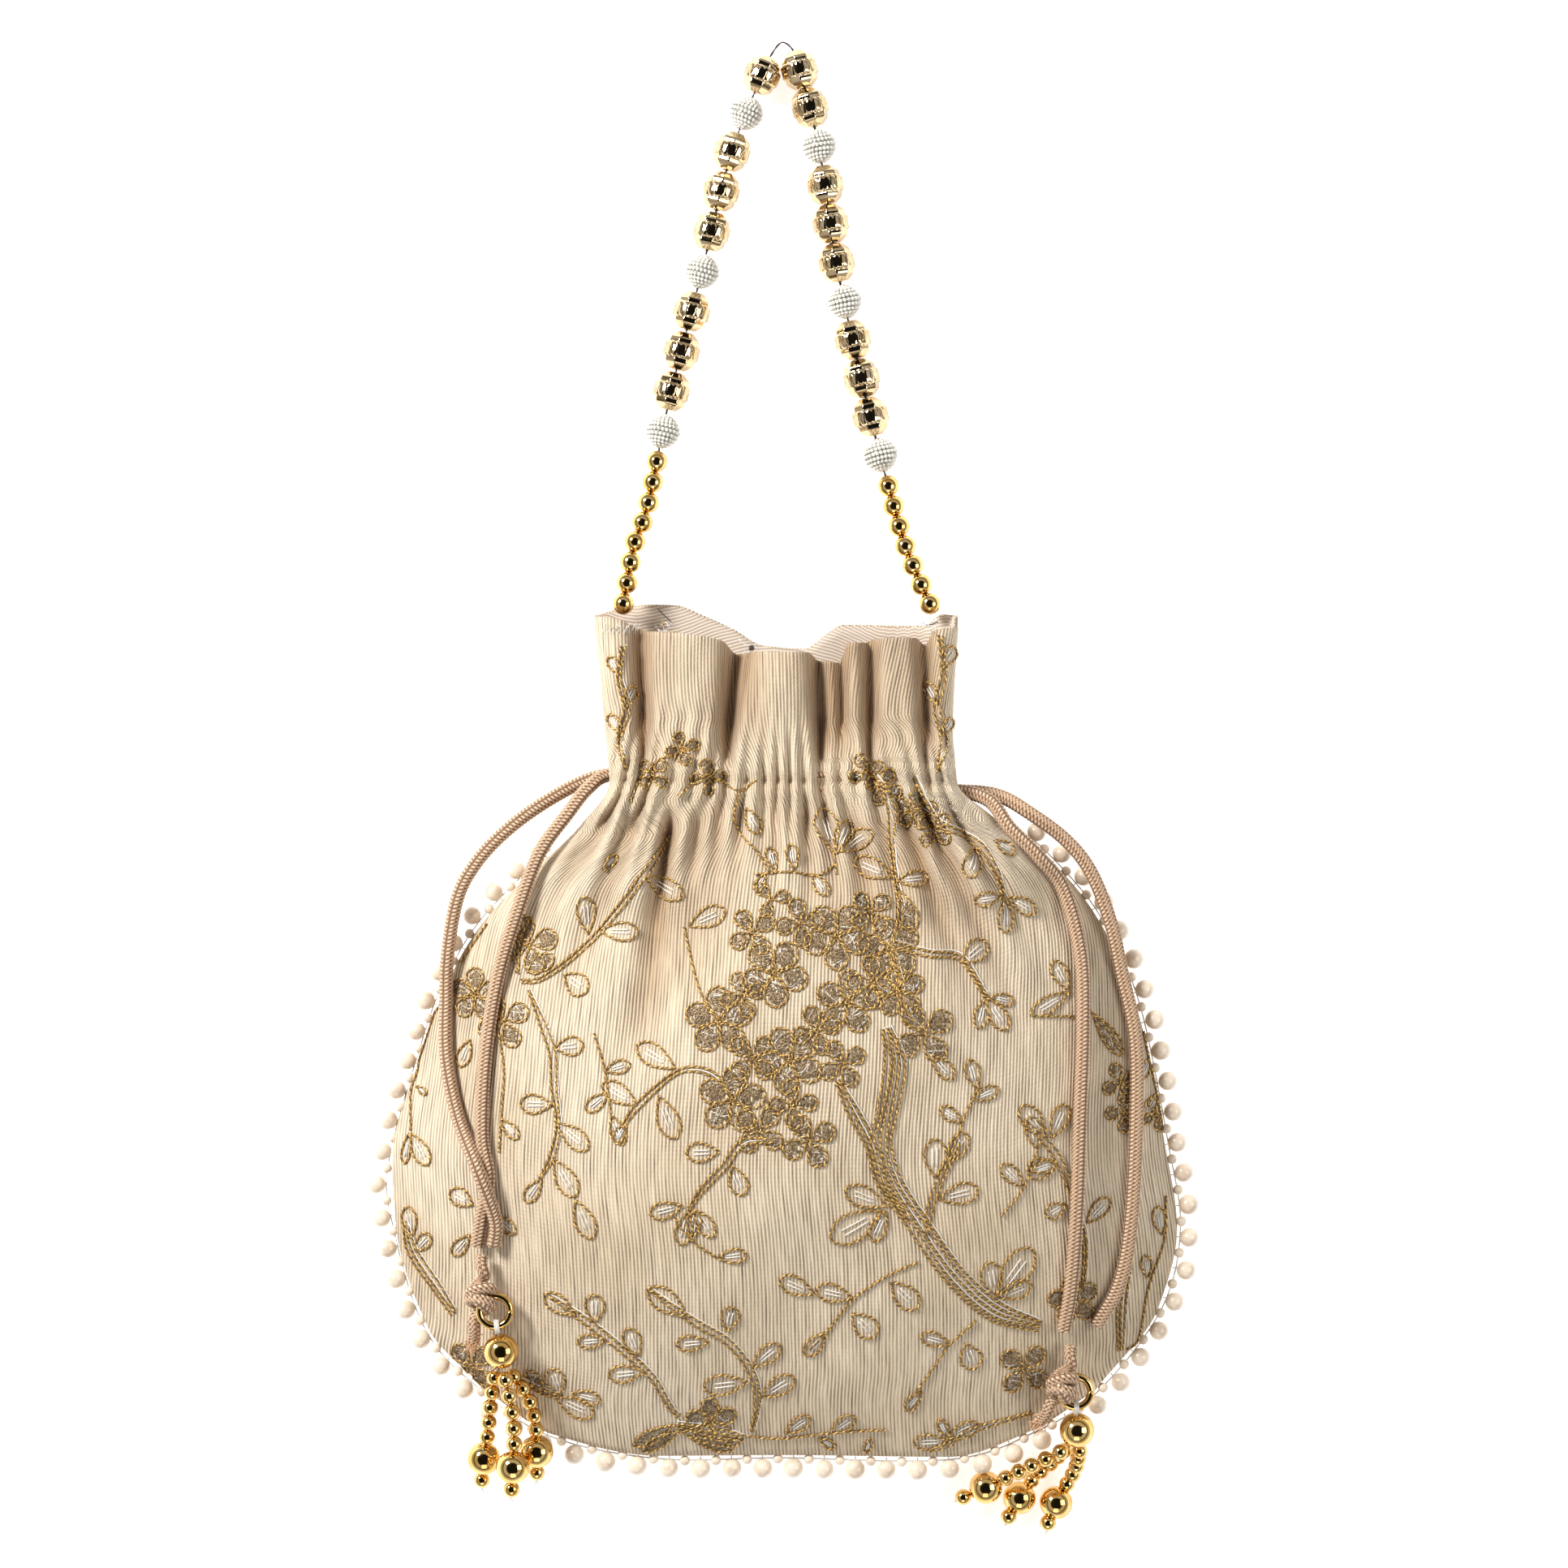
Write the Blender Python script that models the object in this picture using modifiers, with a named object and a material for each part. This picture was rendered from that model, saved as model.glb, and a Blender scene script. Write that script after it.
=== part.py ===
"""A beaded potli bag: a gathered, drawcorded round pouch lying on its back.

Metres. +X is the bag's right, +Y runs from the belly to the neck and handle, and +Z is up, out of
the front. The origin is the middle of the flat spot that the back rests on.
"""

import math

import bmesh
import bpy
from mathutils import Matrix, Vector

# Cloth
CLOTH = 0.0008  # thickness of a panel
LINING = 0.0006
LINING_INSET = 0.0016  # from a panel's outer face to the lining's outer face
LINING_NARROWER = 0.034  # the share of the panels' width that the lining gives up
LINING_LIFT = 0.0035  # how far the lining's bottom edge stays above the bottom seam
SEAM_GAP = 0.0008  # from the seam's plane to a panel's edge
CORNER_Y = -0.0714  # where the side seams become the bottom seam
RIM_Y = 0.1460
RIM_DIP = 0.0080  # how far the front rim hangs below the back one
DIP_START = 0.8  # the share of the height above which the front rim starts to dip
BOTTOM_EDGE = 0.10  # the share of the height over which the bottom edge's gap closes
BOTTOM_SPREAD = 3  # how fast rows straighten above the bottom seam
PANEL_COLUMNS = 16
LINING_COLUMNS = 10
WELD = 0.00002  # points nearer than this are one

# Drawcords and their casing
CORD_RADIUS = 0.0020
CORD_SPACING = 0.0046
CORD_STEP = 2.6 * 2 * CORD_RADIUS  # between the points of a cord's line
CASING_Y = 0.0990

# Pearls sewn along the seam
PEARL_RADIUS = 0.00285
PEARL_PITCH = 0.0087
PEARL_OFFSET = 0.0037
PEARL_SHARES = (0.45, 0.96, 0.96)  # the edging's radius along each pitch, as shares of a pearl's
PEARL_TOPS = (0.0820, 0.0860)  # where the left and right ends of the edging lie
PEARL_INSET = 0.0020  # from an end of the edging to the end pearl's centre

# Handle
FACETED_RADIUS = 0.0051
FACETED_LENGTH = 0.0107
FACETED_BAND = 0.16  # half of the band's height, as a share of the bead's length
FACETED_SHOULDER = 0.30  # where the cone breaks, as a share of the length
FACETED_WAIST = 0.86  # the radius there, as a share of the bead's
FACETED_END = 0.42  # the radius at each end
PEARL_BALL_RADIUS = 0.0052
SMALL_RADIUS = 0.0030
SMALL_LENGTH = 0.0057
BORE_RADIUS = 0.0009
THREAD_RADIUS = 0.0004
THREAD_STEP = 0.0055
BEAD_SEGMENTS = 8

# Tassels
RING_MAJOR = 0.00425
RING_WIRE = 0.0011
RING_PLAY = 0.00035
TOP_BEAD_RADIUS = 0.0049
LOOP_MAJOR = 0.00175
LOOP_WIRE = 0.00035
STRAND_SMALL = 0.0023
STRAND_LARGE = 0.0048
STRAND_END = 0.00235
STRAND_THREAD = 0.0005
SMALL_SHARES = (-0.9, -0.3, 0.3, 0.9)  # where a strand's ball has its rings, as shares of its radius
LARGE_SHARES = (-0.92, -0.55, 0.0, 0.55, 0.92)
TOUCH_GAP = 0.0003

# How finely lines are worked out
CURVE_STEPS = 20  # between two given points
WALK_STEP = 0.0005
STRAND_STEP = 0.0002
TURN_POINTS = 7  # round a cord's turn inside the casing

# Side seams: (y, x) from the bottom corners to the rim.
LEFT_SEAM = [
    (-0.0714, -0.0834),
    (-0.0542, -0.0995),
    (-0.0243, -0.1088),
    (-0.0070, -0.1097),
    (0.0268, -0.1003),
    (0.0432, -0.0942),
    (0.0587, -0.0852),
    (0.0726, -0.0722),
    (0.0880, -0.0560),
    (0.0990, -0.0485),
    (0.1150, -0.0500),
    (0.1460, -0.0530),
]
RIGHT_SEAM = [
    (-0.0714, 0.0874),
    (-0.0484, 0.1052),
    (-0.0260, 0.1105),
    (-0.0024, 0.1071),
    (0.0309, 0.1006),
    (0.0482, 0.0948),
    (0.0647, 0.0858),
    (0.0796, 0.0725),
    (0.0900, 0.0580),
    (0.0990, 0.0485),
    (0.1150, 0.0475),
    (0.1460, 0.0490),
]
# Bottom seam: (x, y) from corner to corner.
BOTTOM_SEAM = [
    (-0.0834, -0.0714),
    (-0.0646, -0.0837),
    (-0.0350, -0.0897),
    (0.0000, -0.0895),
    (0.0465, -0.0900),
    (0.0695, -0.0827),
    (0.0874, -0.0714),
]

# Heights along the bag, as (fraction from the bottom seam to the rim, metres).
SEAM_HEIGHT = [(0.0, 0.0100), (0.60, 0.0100), (0.784, 0.0130), (1.0, 0.0130)]
FRONT_CROWN = [
    (0.0, 0.0),
    (0.02, 0.0045),
    (0.05, 0.0100),
    (0.10, 0.0180),
    (0.20, 0.0285),
    (0.30, 0.0345),
    (0.40, 0.0360),
    (0.50, 0.0345),
    (0.60, 0.0290),
    (0.70, 0.0200),
    (0.784, 0.0120),
    (0.86, 0.0135),
    (1.0, 0.0145),
]
BACK_DEPTH = [
    (0.0, 0.0),
    (0.03, 0.0070),
    (0.10, 0.0125),
    (0.20, 0.0160),
    (0.55, 0.0160),
    (0.70, 0.0125),
    (0.784, 0.0120),
    (1.0, 0.0122),
]
# Cross-section shape: (fraction, power of the sideways distance, power of the whole).
FULLNESS = [(0.0, 2.1), (0.60, 2.1), (0.77, 8.0), (0.82, 8.0), (1.0, 6.0)]
ROUNDNESS = [(0.0, 0.9), (0.60, 0.9), (0.77, 0.5), (1.0, 0.5)]
# Half the height of the gap between the panels: it opens at the casing's side slits.
SLIT = [
    (0.0, 0.0014),
    (0.05, SEAM_GAP),
    (0.725, SEAM_GAP),
    (0.755, 0.0060),
    (0.815, 0.0060),
    (0.845, SEAM_GAP),
    (1.0, SEAM_GAP),
]
ROWS = [0, 0.012, 0.03, 0.055, 0.09, 0.14, 0.20, 0.27, 0.34, 0.41, 0.48, 0.55, 0.62, 0.68, 0.725,
        0.755, 0.784, 0.815, 0.845, 0.89, 0.945, 1.0]
LINING_ROWS = [0, 0.03, 0.08, 0.16, 0.27, 0.41, 0.55, 0.62, 0.68, 0.745, 0.784, 0.82, 0.845,
               0.88, 0.93, 0.985]
# The lining is drawn in where the cords pass: (fraction, share of the panels' width or height).
LINING_WIDTH = [(0.0, 1.0), (0.55, 1.0), (0.66, 0.74), (0.745, 0.45), (0.82, 0.45), (0.88, 0.93),
                (1.0, 1.0)]
LINING_HEIGHT = [(0.0, 1.0), (0.55, 1.0), (0.66, 0.72), (0.745, 0.36), (0.82, 0.42), (0.88, 0.80),
                 (1.0, 1.0)]

# Cord routes, from the casing's side slit to the knot.
LEFT_INNER_LEG = [
    (-0.0485, 0.1013, 0.0154),
    (-0.0545, 0.0975, 0.0180),
    (-0.0600, 0.0905, 0.0200),
    (-0.0681, 0.0790, 0.0206),
    (-0.0742, 0.0624, 0.0222),
    (-0.0794, 0.0444, 0.0241),
    (-0.0825, 0.0232, 0.0271),
    (-0.0833, 0.0020, 0.0296),
    (-0.0815, -0.0100, 0.0304),
    (-0.0833, -0.0204, 0.0288),
    (-0.0848, -0.0290, 0.0268),
]
LEFT_OUTER_LEG = [
    (-0.0485, 0.1013, 0.0106),
    (-0.0570, 0.0990, 0.0106),
    (-0.0685, 0.0925, 0.0125),
    (-0.0785, 0.0848, 0.0140),
    (-0.0860, 0.0765, 0.0150),
    (-0.0910, 0.0670, 0.0157),
    (-0.0937, 0.0520, 0.0157),
    (-0.0942, 0.0382, 0.0161),
    (-0.0937, 0.0220, 0.0207),
    (-0.0900, 0.0060, 0.0258),
    (-0.0840, -0.0080, 0.0331),
    (-0.0795, -0.0215, 0.0304),
    (-0.0800, -0.0290, 0.0287),
]
RIGHT_INNER_LEG = [
    (0.0485, 0.0967, 0.0154),
    (0.0575, 0.0940, 0.0180),
    (0.0630, 0.0865, 0.0222),
    (0.0710, 0.0785, 0.0230),
    (0.0780, 0.0692, 0.0203),
    (0.0826, 0.0511, 0.0221),
    (0.0830, 0.0315, 0.0264),
    (0.0819, 0.0041, 0.0292),
    (0.0811, -0.0189, 0.0297),
    (0.0797, -0.0400, 0.0273),
    (0.0778, -0.0530, 0.0246),
]
RIGHT_OUTER_LEG = [
    (0.0485, 0.0967, 0.0106),
    (0.0600, 0.0955, 0.0115),
    (0.0690, 0.0905, 0.0157),
    (0.0790, 0.0830, 0.0157),
    (0.0860, 0.0740, 0.0157),
    (0.0915, 0.0600, 0.0157),
    (0.0947, 0.0456, 0.0154),
    (0.0983, 0.0275, 0.0170),
    (0.0983, 0.0041, 0.0201),
    (0.0967, -0.0229, 0.0218),
    (0.0935, -0.0400, 0.0216),
    (0.0870, -0.0520, 0.0213),
]
# How the cord runs inside the casing, for a cord whose slit is on the left.
CASING_HALF = 0.0076  # half the height between its front and back runs
CASING_TURN_X = 0.0360
CASING_MID_Z = 0.0130
CASING_RUN_X = (0.0220, 0.0100, -0.0050, -0.0200)  # points of a run, towards its turn
CASING_LEVEL_X = 0.0350  # from here to the slit the two runs lie close together

# Handle routes, from the apex to the rim, and the kinds of the large beads on them.
LEFT_HANDLE = [
    (-0.0060, 0.2984, 0.0054),
    (-0.0146, 0.2767, 0.0054),
    (-0.0228, 0.2437, 0.0054),
    (-0.0314, 0.2102, 0.0054),
    (-0.0338, 0.1992, 0.0054),
    (-0.0381, 0.1772, 0.0080),
    (-0.0419, 0.1656, 0.0105),
    (-0.0448, 0.1492, 0.0130),
]
RIGHT_HANDLE = [
    (0.0045, 0.2999, 0.0054),
    (0.0100, 0.2785, 0.0054),
    (0.0150, 0.2452, 0.0054),
    (0.0221, 0.2125, 0.0054),
    (0.0275, 0.1906, 0.0054),
    (0.0334, 0.1682, 0.0092),
    (0.0373, 0.1577, 0.0115),
    (0.0410, 0.1492, 0.0130),
]
LEFT_LARGE = "FPFFFPFFFP"
RIGHT_LARGE = "FFPFFFPFFFP"
LEFT_SMALL = 8
RIGHT_SMALL = 7
LEFT_PITCH = 0.0116
RIGHT_PITCH = 0.0111
SMALL_PITCH = 0.0060
APEX_HEIGHT = 0.0035  # how far the thread stands above the two top beads

# Tassels: the ring's centre, then where each strand goes from the top bead.
LEFT_RING = (-0.0797, -0.0470, 0.0290)
RIGHT_RING = (0.0812, -0.0702, 0.0225)
LEFT_KNOT = [(-0.0832, -0.0315, 0.0285), (-0.0838, -0.0370, 0.0288), (-0.0835, -0.0435, 0.0285),
             (-0.0850, -0.0500, 0.0265), (-0.0862, -0.0560, 0.0240)]
RIGHT_KNOT = [(0.0800, -0.0570, 0.0245), (0.0790, -0.0620, 0.0245), (0.0775, -0.0690, 0.0240),
              (0.0745, -0.0750, 0.0205), (0.0715, -0.0790, 0.0180)]
KNOT_RADII = (0.0026, 0.0046, 0.0046, 0.0024, 0.0022)
KNOT_STEP = 0.0042
LEFT_BEAD_DIRECTION = (0.0016, -0.0112, -0.0026)
RIGHT_BEAD_DIRECTION = (0.0006, -0.0112, -0.0044)
LEFT_STRANDS = [
    [(-0.0798, -0.0640, 0.0242), (-0.0815, -0.0740, 0.0210), (-0.0825, -0.0830, 0.0180),
     (-0.0842, -0.0930, 0.0135), (-0.0845, -0.0985, 0.0110)],
    [(-0.0775, -0.0640, 0.0275), (-0.0752, -0.0730, 0.0285), (-0.0745, -0.0830, 0.0270),
     (-0.0752, -0.0930, 0.0240), (-0.0757, -0.0995, 0.0210)],
    [(-0.0762, -0.0645, 0.0222), (-0.0712, -0.0715, 0.0218), (-0.0692, -0.0780, 0.0205),
     (-0.0688, -0.0860, 0.0182), (-0.0690, -0.0960, 0.0140)],
]
RIGHT_STRANDS = [
    [(0.0830, -0.0870, 0.0150), (0.0822, -0.0935, 0.0085), (0.0797, -0.0990, 0.0050),
     (0.0755, -0.1065, 0.0053), (0.0740, -0.1115, 0.0070)],
    [(0.0796, -0.0878, 0.0095), (0.0757, -0.0928, 0.0042), (0.0705, -0.0972, 0.0036),
     (0.0652, -0.1045, 0.0055), (0.0624, -0.1095, 0.0075)],
    [(0.0794, -0.0866, 0.0180), (0.0718, -0.0905, 0.0165), (0.0640, -0.0950, 0.0118),
     (0.0545, -0.1005, 0.0062), (0.0485, -0.1030, 0.0060)],
]


# ---------------------------------------------------------------------------------------- helpers
def clear_scene():
    for old in list(bpy.data.objects):
        bpy.data.objects.remove(old, do_unlink=True)


def new_collection(name, hidden=False):
    made = bpy.data.collections.new(name)
    bpy.context.scene.collection.children.link(made)
    made.hide_render = hidden
    return made


def material(name, colour, roughness, metallic=0.0):
    made = bpy.data.materials.new(name)
    made.use_nodes = True
    shader = made.node_tree.nodes["Principled BSDF"]
    shader.inputs["Base Color"].default_value = (*colour, 1.0)
    shader.inputs["Roughness"].default_value = roughness
    shader.inputs["Metallic"].default_value = metallic
    return made


def add(name, data, colour):
    """A new object of this data, in the bag's collection, with its own material."""
    made = bpy.data.objects.new(name, data)
    BAG.objects.link(made)
    data.materials.append(material(name, *colour))
    return made


def blended(knots, t, column=1):
    """The smooth value at t of a table whose rows start with t."""
    if t <= knots[0][0]:
        return knots[0][column]
    for low, high in zip(knots, knots[1:]):
        if t <= high[0]:
            share = (t - low[0]) / (high[0] - low[0])
            break
    else:
        return knots[-1][column]
    index = knots.index(low)
    before = knots[max(index - 1, 0)]
    after = knots[min(index + 2, len(knots) - 1)]
    step = high[0] - low[0]
    rise = high[column] - low[column]
    slope = [rise / step, rise / step]
    if index > 0:
        slope[0] = limited(rise / step, (low[column] - before[column]) / (low[0] - before[0]))
    if index + 2 < len(knots):
        slope[1] = limited(rise / step, (after[column] - high[column]) / (after[0] - high[0]))
    s2, s3 = share**2, share**3
    return (
        (2 * s3 - 3 * s2 + 1) * low[column]
        + (s3 - 2 * s2 + share) * step * slope[0]
        + (3 * s2 - 2 * s3) * high[column]
        + (s3 - s2) * step * slope[1]
    )


def limited(first, second):
    """A slope between two neighbours' slopes that never makes the curve overshoot."""
    if first * second <= 0:
        return 0.0
    return 2 * first * second / (first + second)


def curve_through(points, spacing):
    """Points about `spacing` apart on the smooth curve through the given ones."""
    points = [Vector(point) for point in points]
    ends = [2 * points[0] - points[1], *points, 2 * points[-1] - points[-2]]
    dense = []
    for a, b, c, d in zip(ends, ends[1:], ends[2:], ends[3:]):
        for step in range(CURVE_STEPS):
            t = step / CURVE_STEPS
            dense.append(0.5 * (2 * b + (c - a) * t + (2 * a - 5 * b + 4 * c - d) * t**2
                                + (3 * b - a - 3 * c + d) * t**3))
    dense.append(points[-1])
    lengths = [0.0]
    for a, b in zip(dense, dense[1:]):
        lengths.append(lengths[-1] + (b - a).length)
    count = max(2, round(lengths[-1] / spacing))
    return [along(dense, lengths, lengths[-1] * i / count) for i in range(count + 1)]


def along(points, lengths, distance):
    """The point this far along a polyline."""
    for i in range(1, len(points)):
        if distance <= lengths[i] or i == len(points) - 1:
            share = (distance - lengths[i - 1]) / max(lengths[i] - lengths[i - 1], 1e-9)
            return points[i - 1].lerp(points[i], share)


def tube(name, points, radii, colour, sides=2, closed=False):
    """A round tube through these points, whose radius may change from point to point."""
    data = bpy.data.curves.new(name, "CURVE")
    data.dimensions = "3D"
    data.bevel_depth = max(radii)
    data.bevel_resolution = sides
    data.use_fill_caps = True
    spline = data.splines.new("POLY")
    spline.points.add(len(points) - 1)
    for target, point, radius in zip(spline.points, points, radii):
        target.co = (*point, 1.0)
        target.radius = radius / data.bevel_depth
    spline.use_cyclic_u = closed
    return add(name, data, colour)


def turned(name, profile, segments, place, colour):
    """A bead: a closed (radius, height) outline turned about its bore, then put in place."""
    data = bpy.data.meshes.new(name)
    count = len(profile)
    data.from_pydata([(r, 0, z) for r, z in profile], [(i, (i + 1) % count) for i in range(count)], [])
    made = add(name, data, colour)
    screw = made.modifiers.new("turn", "SCREW")
    screw.steps = screw.render_steps = segments
    screw.use_merge_vertices = True
    screw.merge_threshold = 0.00001
    made.matrix_world = place
    return made


def ball_profile(radius, length, bore, rings):
    """The outline of a bead with flattened ends and a bore."""
    limit = math.acos(min(1.0, length / 2 / radius)) if length / 2 < radius else math.asin(bore / radius)
    angles = [limit + (math.pi - 2 * limit) * i / (rings - 1) for i in range(rings)]
    half = length / 2
    outer = [(max(radius * math.sin(a), bore * 1.15), radius * math.cos(a)) for a in angles]
    outer[0] = (outer[0][0], min(outer[0][1], half))
    return [*outer, (bore, outer[-1][1]), (bore, outer[0][1])]


def faceted_profile(radius, length, bore):
    """A bead of two cut cones either side of a narrow band."""
    half, shoulder, band = length / 2, FACETED_SHOULDER * length, FACETED_BAND * length
    end, middle = FACETED_END * radius, FACETED_WAIST * radius
    return [(end, half), (middle, shoulder), (radius, band), (radius, -band),
            (middle, -shoulder), (end, -half), (bore, -half), (bore, half)]


def facing(centre, direction):
    """The place of a bead whose bore lies along a direction."""
    turn = Vector((0, 0, 1)).rotation_difference(Vector(direction)).to_matrix().to_4x4()
    return Matrix.Translation(centre) @ turn


# ------------------------------------------------------------------------------------- bag's shape
def across(u):
    """The sideways distance from the bag's middle line, 0 to 1."""
    return abs(2 * u - 1)


def bulge(u, v):
    """The share of the full height that the cloth reaches at (u, v)."""
    return max(0.0, 1 - across(u) ** blended(FULLNESS, v)) ** blended(ROUNDNESS, v)


def flat_place(u, v, narrow=1.0):
    """Where (u, v) lies, seen from above: u runs from left to right, v from bottom to rim."""
    y = CORNER_Y + (RIM_Y - CORNER_Y) * v
    left, right = blended(LEFT_SEAM, y), blended(RIGHT_SEAM, y)
    middle, half = (left + right) / 2, (right - left) / 2 * narrow
    bottom_x = BOTTOM_SEAM[0][0] + (BOTTOM_SEAM[-1][0] - BOTTOM_SEAM[0][0]) * u
    sag = blended(BOTTOM_SEAM, bottom_x) - CORNER_Y
    return middle + half * (2 * u - 1), y + (1 - v) ** BOTTOM_SPREAD * sag


def seam_gap(v, share):
    """How far a panel's edge stays from the seam's plane: all along the bottom, and at the sides."""
    return blended(SLIT, v) * (1 - share * min(1.0, v / BOTTOM_EDGE))


def rim_dip(v, share):
    """How far the front cloth hangs down near its rim."""
    return RIM_DIP * max(0.0, (v - DIP_START) / (1 - DIP_START)) ** 2 * share


def front_point(u, v):
    x, y = flat_place(u, v)
    share = bulge(u, v)
    gap = seam_gap(v, share)
    height = blended(SEAM_HEIGHT, v) + gap + blended(FRONT_CROWN, v) * share
    return x, y - rim_dip(v, share), height


def back_point(u, v):
    x, y = flat_place(u, v)
    share = bulge(u, v)
    gap = seam_gap(v, share)
    return x, y, max(0.0, blended(SEAM_HEIGHT, v) - gap - blended(BACK_DEPTH, v) * share)


def lining_point(u, v, side):
    """The lining's outer face, drawn in from the panels by its inset."""
    narrow = blended(LINING_WIDTH, v) * (1 - LINING_NARROWER)
    x, y = flat_place(u, v, narrow)
    share = bulge(u, v)
    y += (1 - v) ** BOTTOM_SPREAD * LINING_LIFT
    full = blended(FRONT_CROWN, v) if side > 0 else min(blended(BACK_DEPTH, v), blended(SEAM_HEIGHT, v))
    height = max(0.0, full - LINING_INSET) * blended(LINING_HEIGHT, v) * share
    if side < 0:
        height = min(height, blended(SEAM_HEIGHT, v) - LINING_INSET)
    dip = rim_dip(v, share) if side > 0 else 0.0
    return x, y - dip, blended(SEAM_HEIGHT, v) + side * height


def columns(count):
    """Shares across the bag, closer together near its sides."""
    return [(1 - math.cos(math.pi * i / count)) / 2 for i in range(count + 1)]


def sheet_faces(mesh, shape, shares, rows, upward):
    grid = [[mesh.verts.new(shape(u, v)) for u in shares] for v in rows]
    for low, high in zip(grid, grid[1:]):
        for i in range(len(shares) - 1):
            corners = [low[i], low[i + 1], high[i + 1], high[i]]
            mesh.faces.new(corners if upward else corners[::-1])


def sheet(name, fill, thickness, colour):
    """An open surface made thick towards its inside."""
    mesh = bmesh.new()
    fill(mesh)
    bmesh.ops.remove_doubles(mesh, verts=mesh.verts, dist=WELD)
    data = bpy.data.meshes.new(name)
    mesh.to_mesh(data)
    mesh.free()
    data.shade_smooth()
    made = add(name, data, colour)
    thick = made.modifiers.new("thickness", "SOLIDIFY")
    thick.thickness = thickness
    thick.offset = -1
    return made


def build_cloth():
    shares = columns(PANEL_COLUMNS)
    sheet("front_panel", lambda m: sheet_faces(m, front_point, shares, ROWS, True), CLOTH, CREAM)
    sheet("back_panel", lambda m: sheet_faces(m, back_point, shares, ROWS, False), CLOTH, CREAM)

    def fill_lining(mesh):
        inner = columns(LINING_COLUMNS)
        for side in (1, -1):
            sheet_faces(mesh, lambda u, v: lining_point(u, v, side), inner, LINING_ROWS, side > 0)

    sheet("lining", fill_lining, LINING, GREY)


# ----------------------------------------------------------------------------------------- pearls
def seam_outline():
    """The seam from the left end of the edging, round the bottom, to the right end."""
    left = [(x, y) for y, x in LEFT_SEAM if y < PEARL_TOPS[0] - 2 * PEARL_INSET][::-1]
    right = [(x, y) for y, x in RIGHT_SEAM if y < PEARL_TOPS[1] - 2 * PEARL_INSET]
    first = (blended(LEFT_SEAM, PEARL_TOPS[0] - PEARL_INSET), PEARL_TOPS[0] - PEARL_INSET)
    last = (blended(RIGHT_SEAM, PEARL_TOPS[1] - PEARL_INSET), PEARL_TOPS[1] - PEARL_INSET)
    flat = [first, *left, *BOTTOM_SEAM[1:-1], *right, last]
    height = [blended(SEAM_HEIGHT, (y - CORNER_Y) / (RIM_Y - CORNER_Y)) for _, y in flat]
    return [(x, y, z) for (x, y), z in zip(flat, height)]


def build_pearls():
    seam = curve_through(seam_outline(), PEARL_PITCH / 3)
    points = []
    for before, here, after in zip(seam[:1] + seam, seam, seam[1:] + seam[-1:]):
        run = after - before
        out = Vector((run.y, -run.x, 0)).normalized()
        points.append(here + PEARL_OFFSET * out)
    radii = [PEARL_SHARES[i % 3] * PEARL_RADIUS for i in range(len(points))]
    tube("pearl_edging", points, radii, PEARL, sides=1)


# ------------------------------------------------------------------------------------- drawcords
def casing_run(side, y):
    """Both runs of a cord inside the casing, and its turn at the far side."""
    run = [(side * CASING_LEVEL_X, y, CASING_MID_Z + CORD_SPACING / 2)]
    for x in CASING_RUN_X:
        run.append((side * x, y, CASING_MID_Z + CASING_HALF))
    turn = []
    for step in range(TURN_POINTS):
        angle = math.pi / 2 - math.pi * step / (TURN_POINTS - 1)
        turn.append((-side * (CASING_TURN_X + CASING_HALF * math.cos(angle)), y,
                     CASING_MID_Z + CASING_HALF * math.sin(angle)))
    back = [(px, py, 2 * CASING_MID_Z - pz) for px, py, pz in run[::-1]]
    return [*run, *turn, *back]


def build_cord(name, side, y, inner, outer):
    route = [*inner[::-1], *casing_run(side, y), *outer]
    points = curve_through(route, CORD_STEP)
    tube(name, points, [CORD_RADIUS] * len(points), TAN)


def build_knot(name, route, ring):
    """The cord's knot: a lump with a channel that the jump ring turns in."""
    radii_route = curve_through(route, KNOT_STEP)
    count = len(radii_route)
    radii = []
    for i in range(count):
        at = i / (count - 1) * (len(KNOT_RADII) - 1)
        low = min(int(at), len(KNOT_RADII) - 2)
        radii.append(KNOT_RADII[low] + (at - low) * (KNOT_RADII[low + 1] - KNOT_RADII[low]))
    soft = tube(name + "_soft", radii_route, radii, TAN)
    graph = bpy.context.evaluated_depsgraph_get()
    data = bpy.data.meshes.new_from_object(soft.evaluated_get(graph))
    bpy.data.objects.remove(soft, do_unlink=True)
    welded = bmesh.new()
    welded.from_mesh(data)
    bmesh.ops.remove_doubles(welded, verts=welded.verts, dist=0.00001)
    welded.to_mesh(data)
    welded.free()
    data.materials.clear()
    knot = add(name, data, TAN)
    bpy.ops.mesh.primitive_torus_add(
        major_segments=20, minor_segments=8, major_radius=RING_MAJOR,
        minor_radius=RING_WIRE + RING_PLAY, location=ring,
    )
    cutter = bpy.context.object
    cutter.name = name + "_channel"
    cutter.hide_render = True
    cutter.display_type = "WIRE"
    for holder in list(cutter.users_collection):
        holder.objects.unlink(cutter)
    CUTTERS.objects.link(cutter)
    cut = knot.modifiers.new("channel", "BOOLEAN")
    cut.operation = "DIFFERENCE"
    cut.object = cutter
    return knot


# ---------------------------------------------------------------------------------------- tassels
def torus(name, centre, major, minor, segments, sides, colour, turn=None):
    bpy.ops.mesh.primitive_torus_add(
        major_segments=segments, minor_segments=sides, major_radius=major, minor_radius=minor
    )
    made = bpy.context.object
    made.name = made.data.name = name
    for holder in list(made.users_collection):
        holder.objects.unlink(made)
    BAG.objects.link(made)
    made.data.materials.append(material(name, *colour))
    made.data.shade_smooth()
    made.matrix_world = Matrix.Translation(centre) @ (turn or Matrix.Identity(4))
    return made


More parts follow.
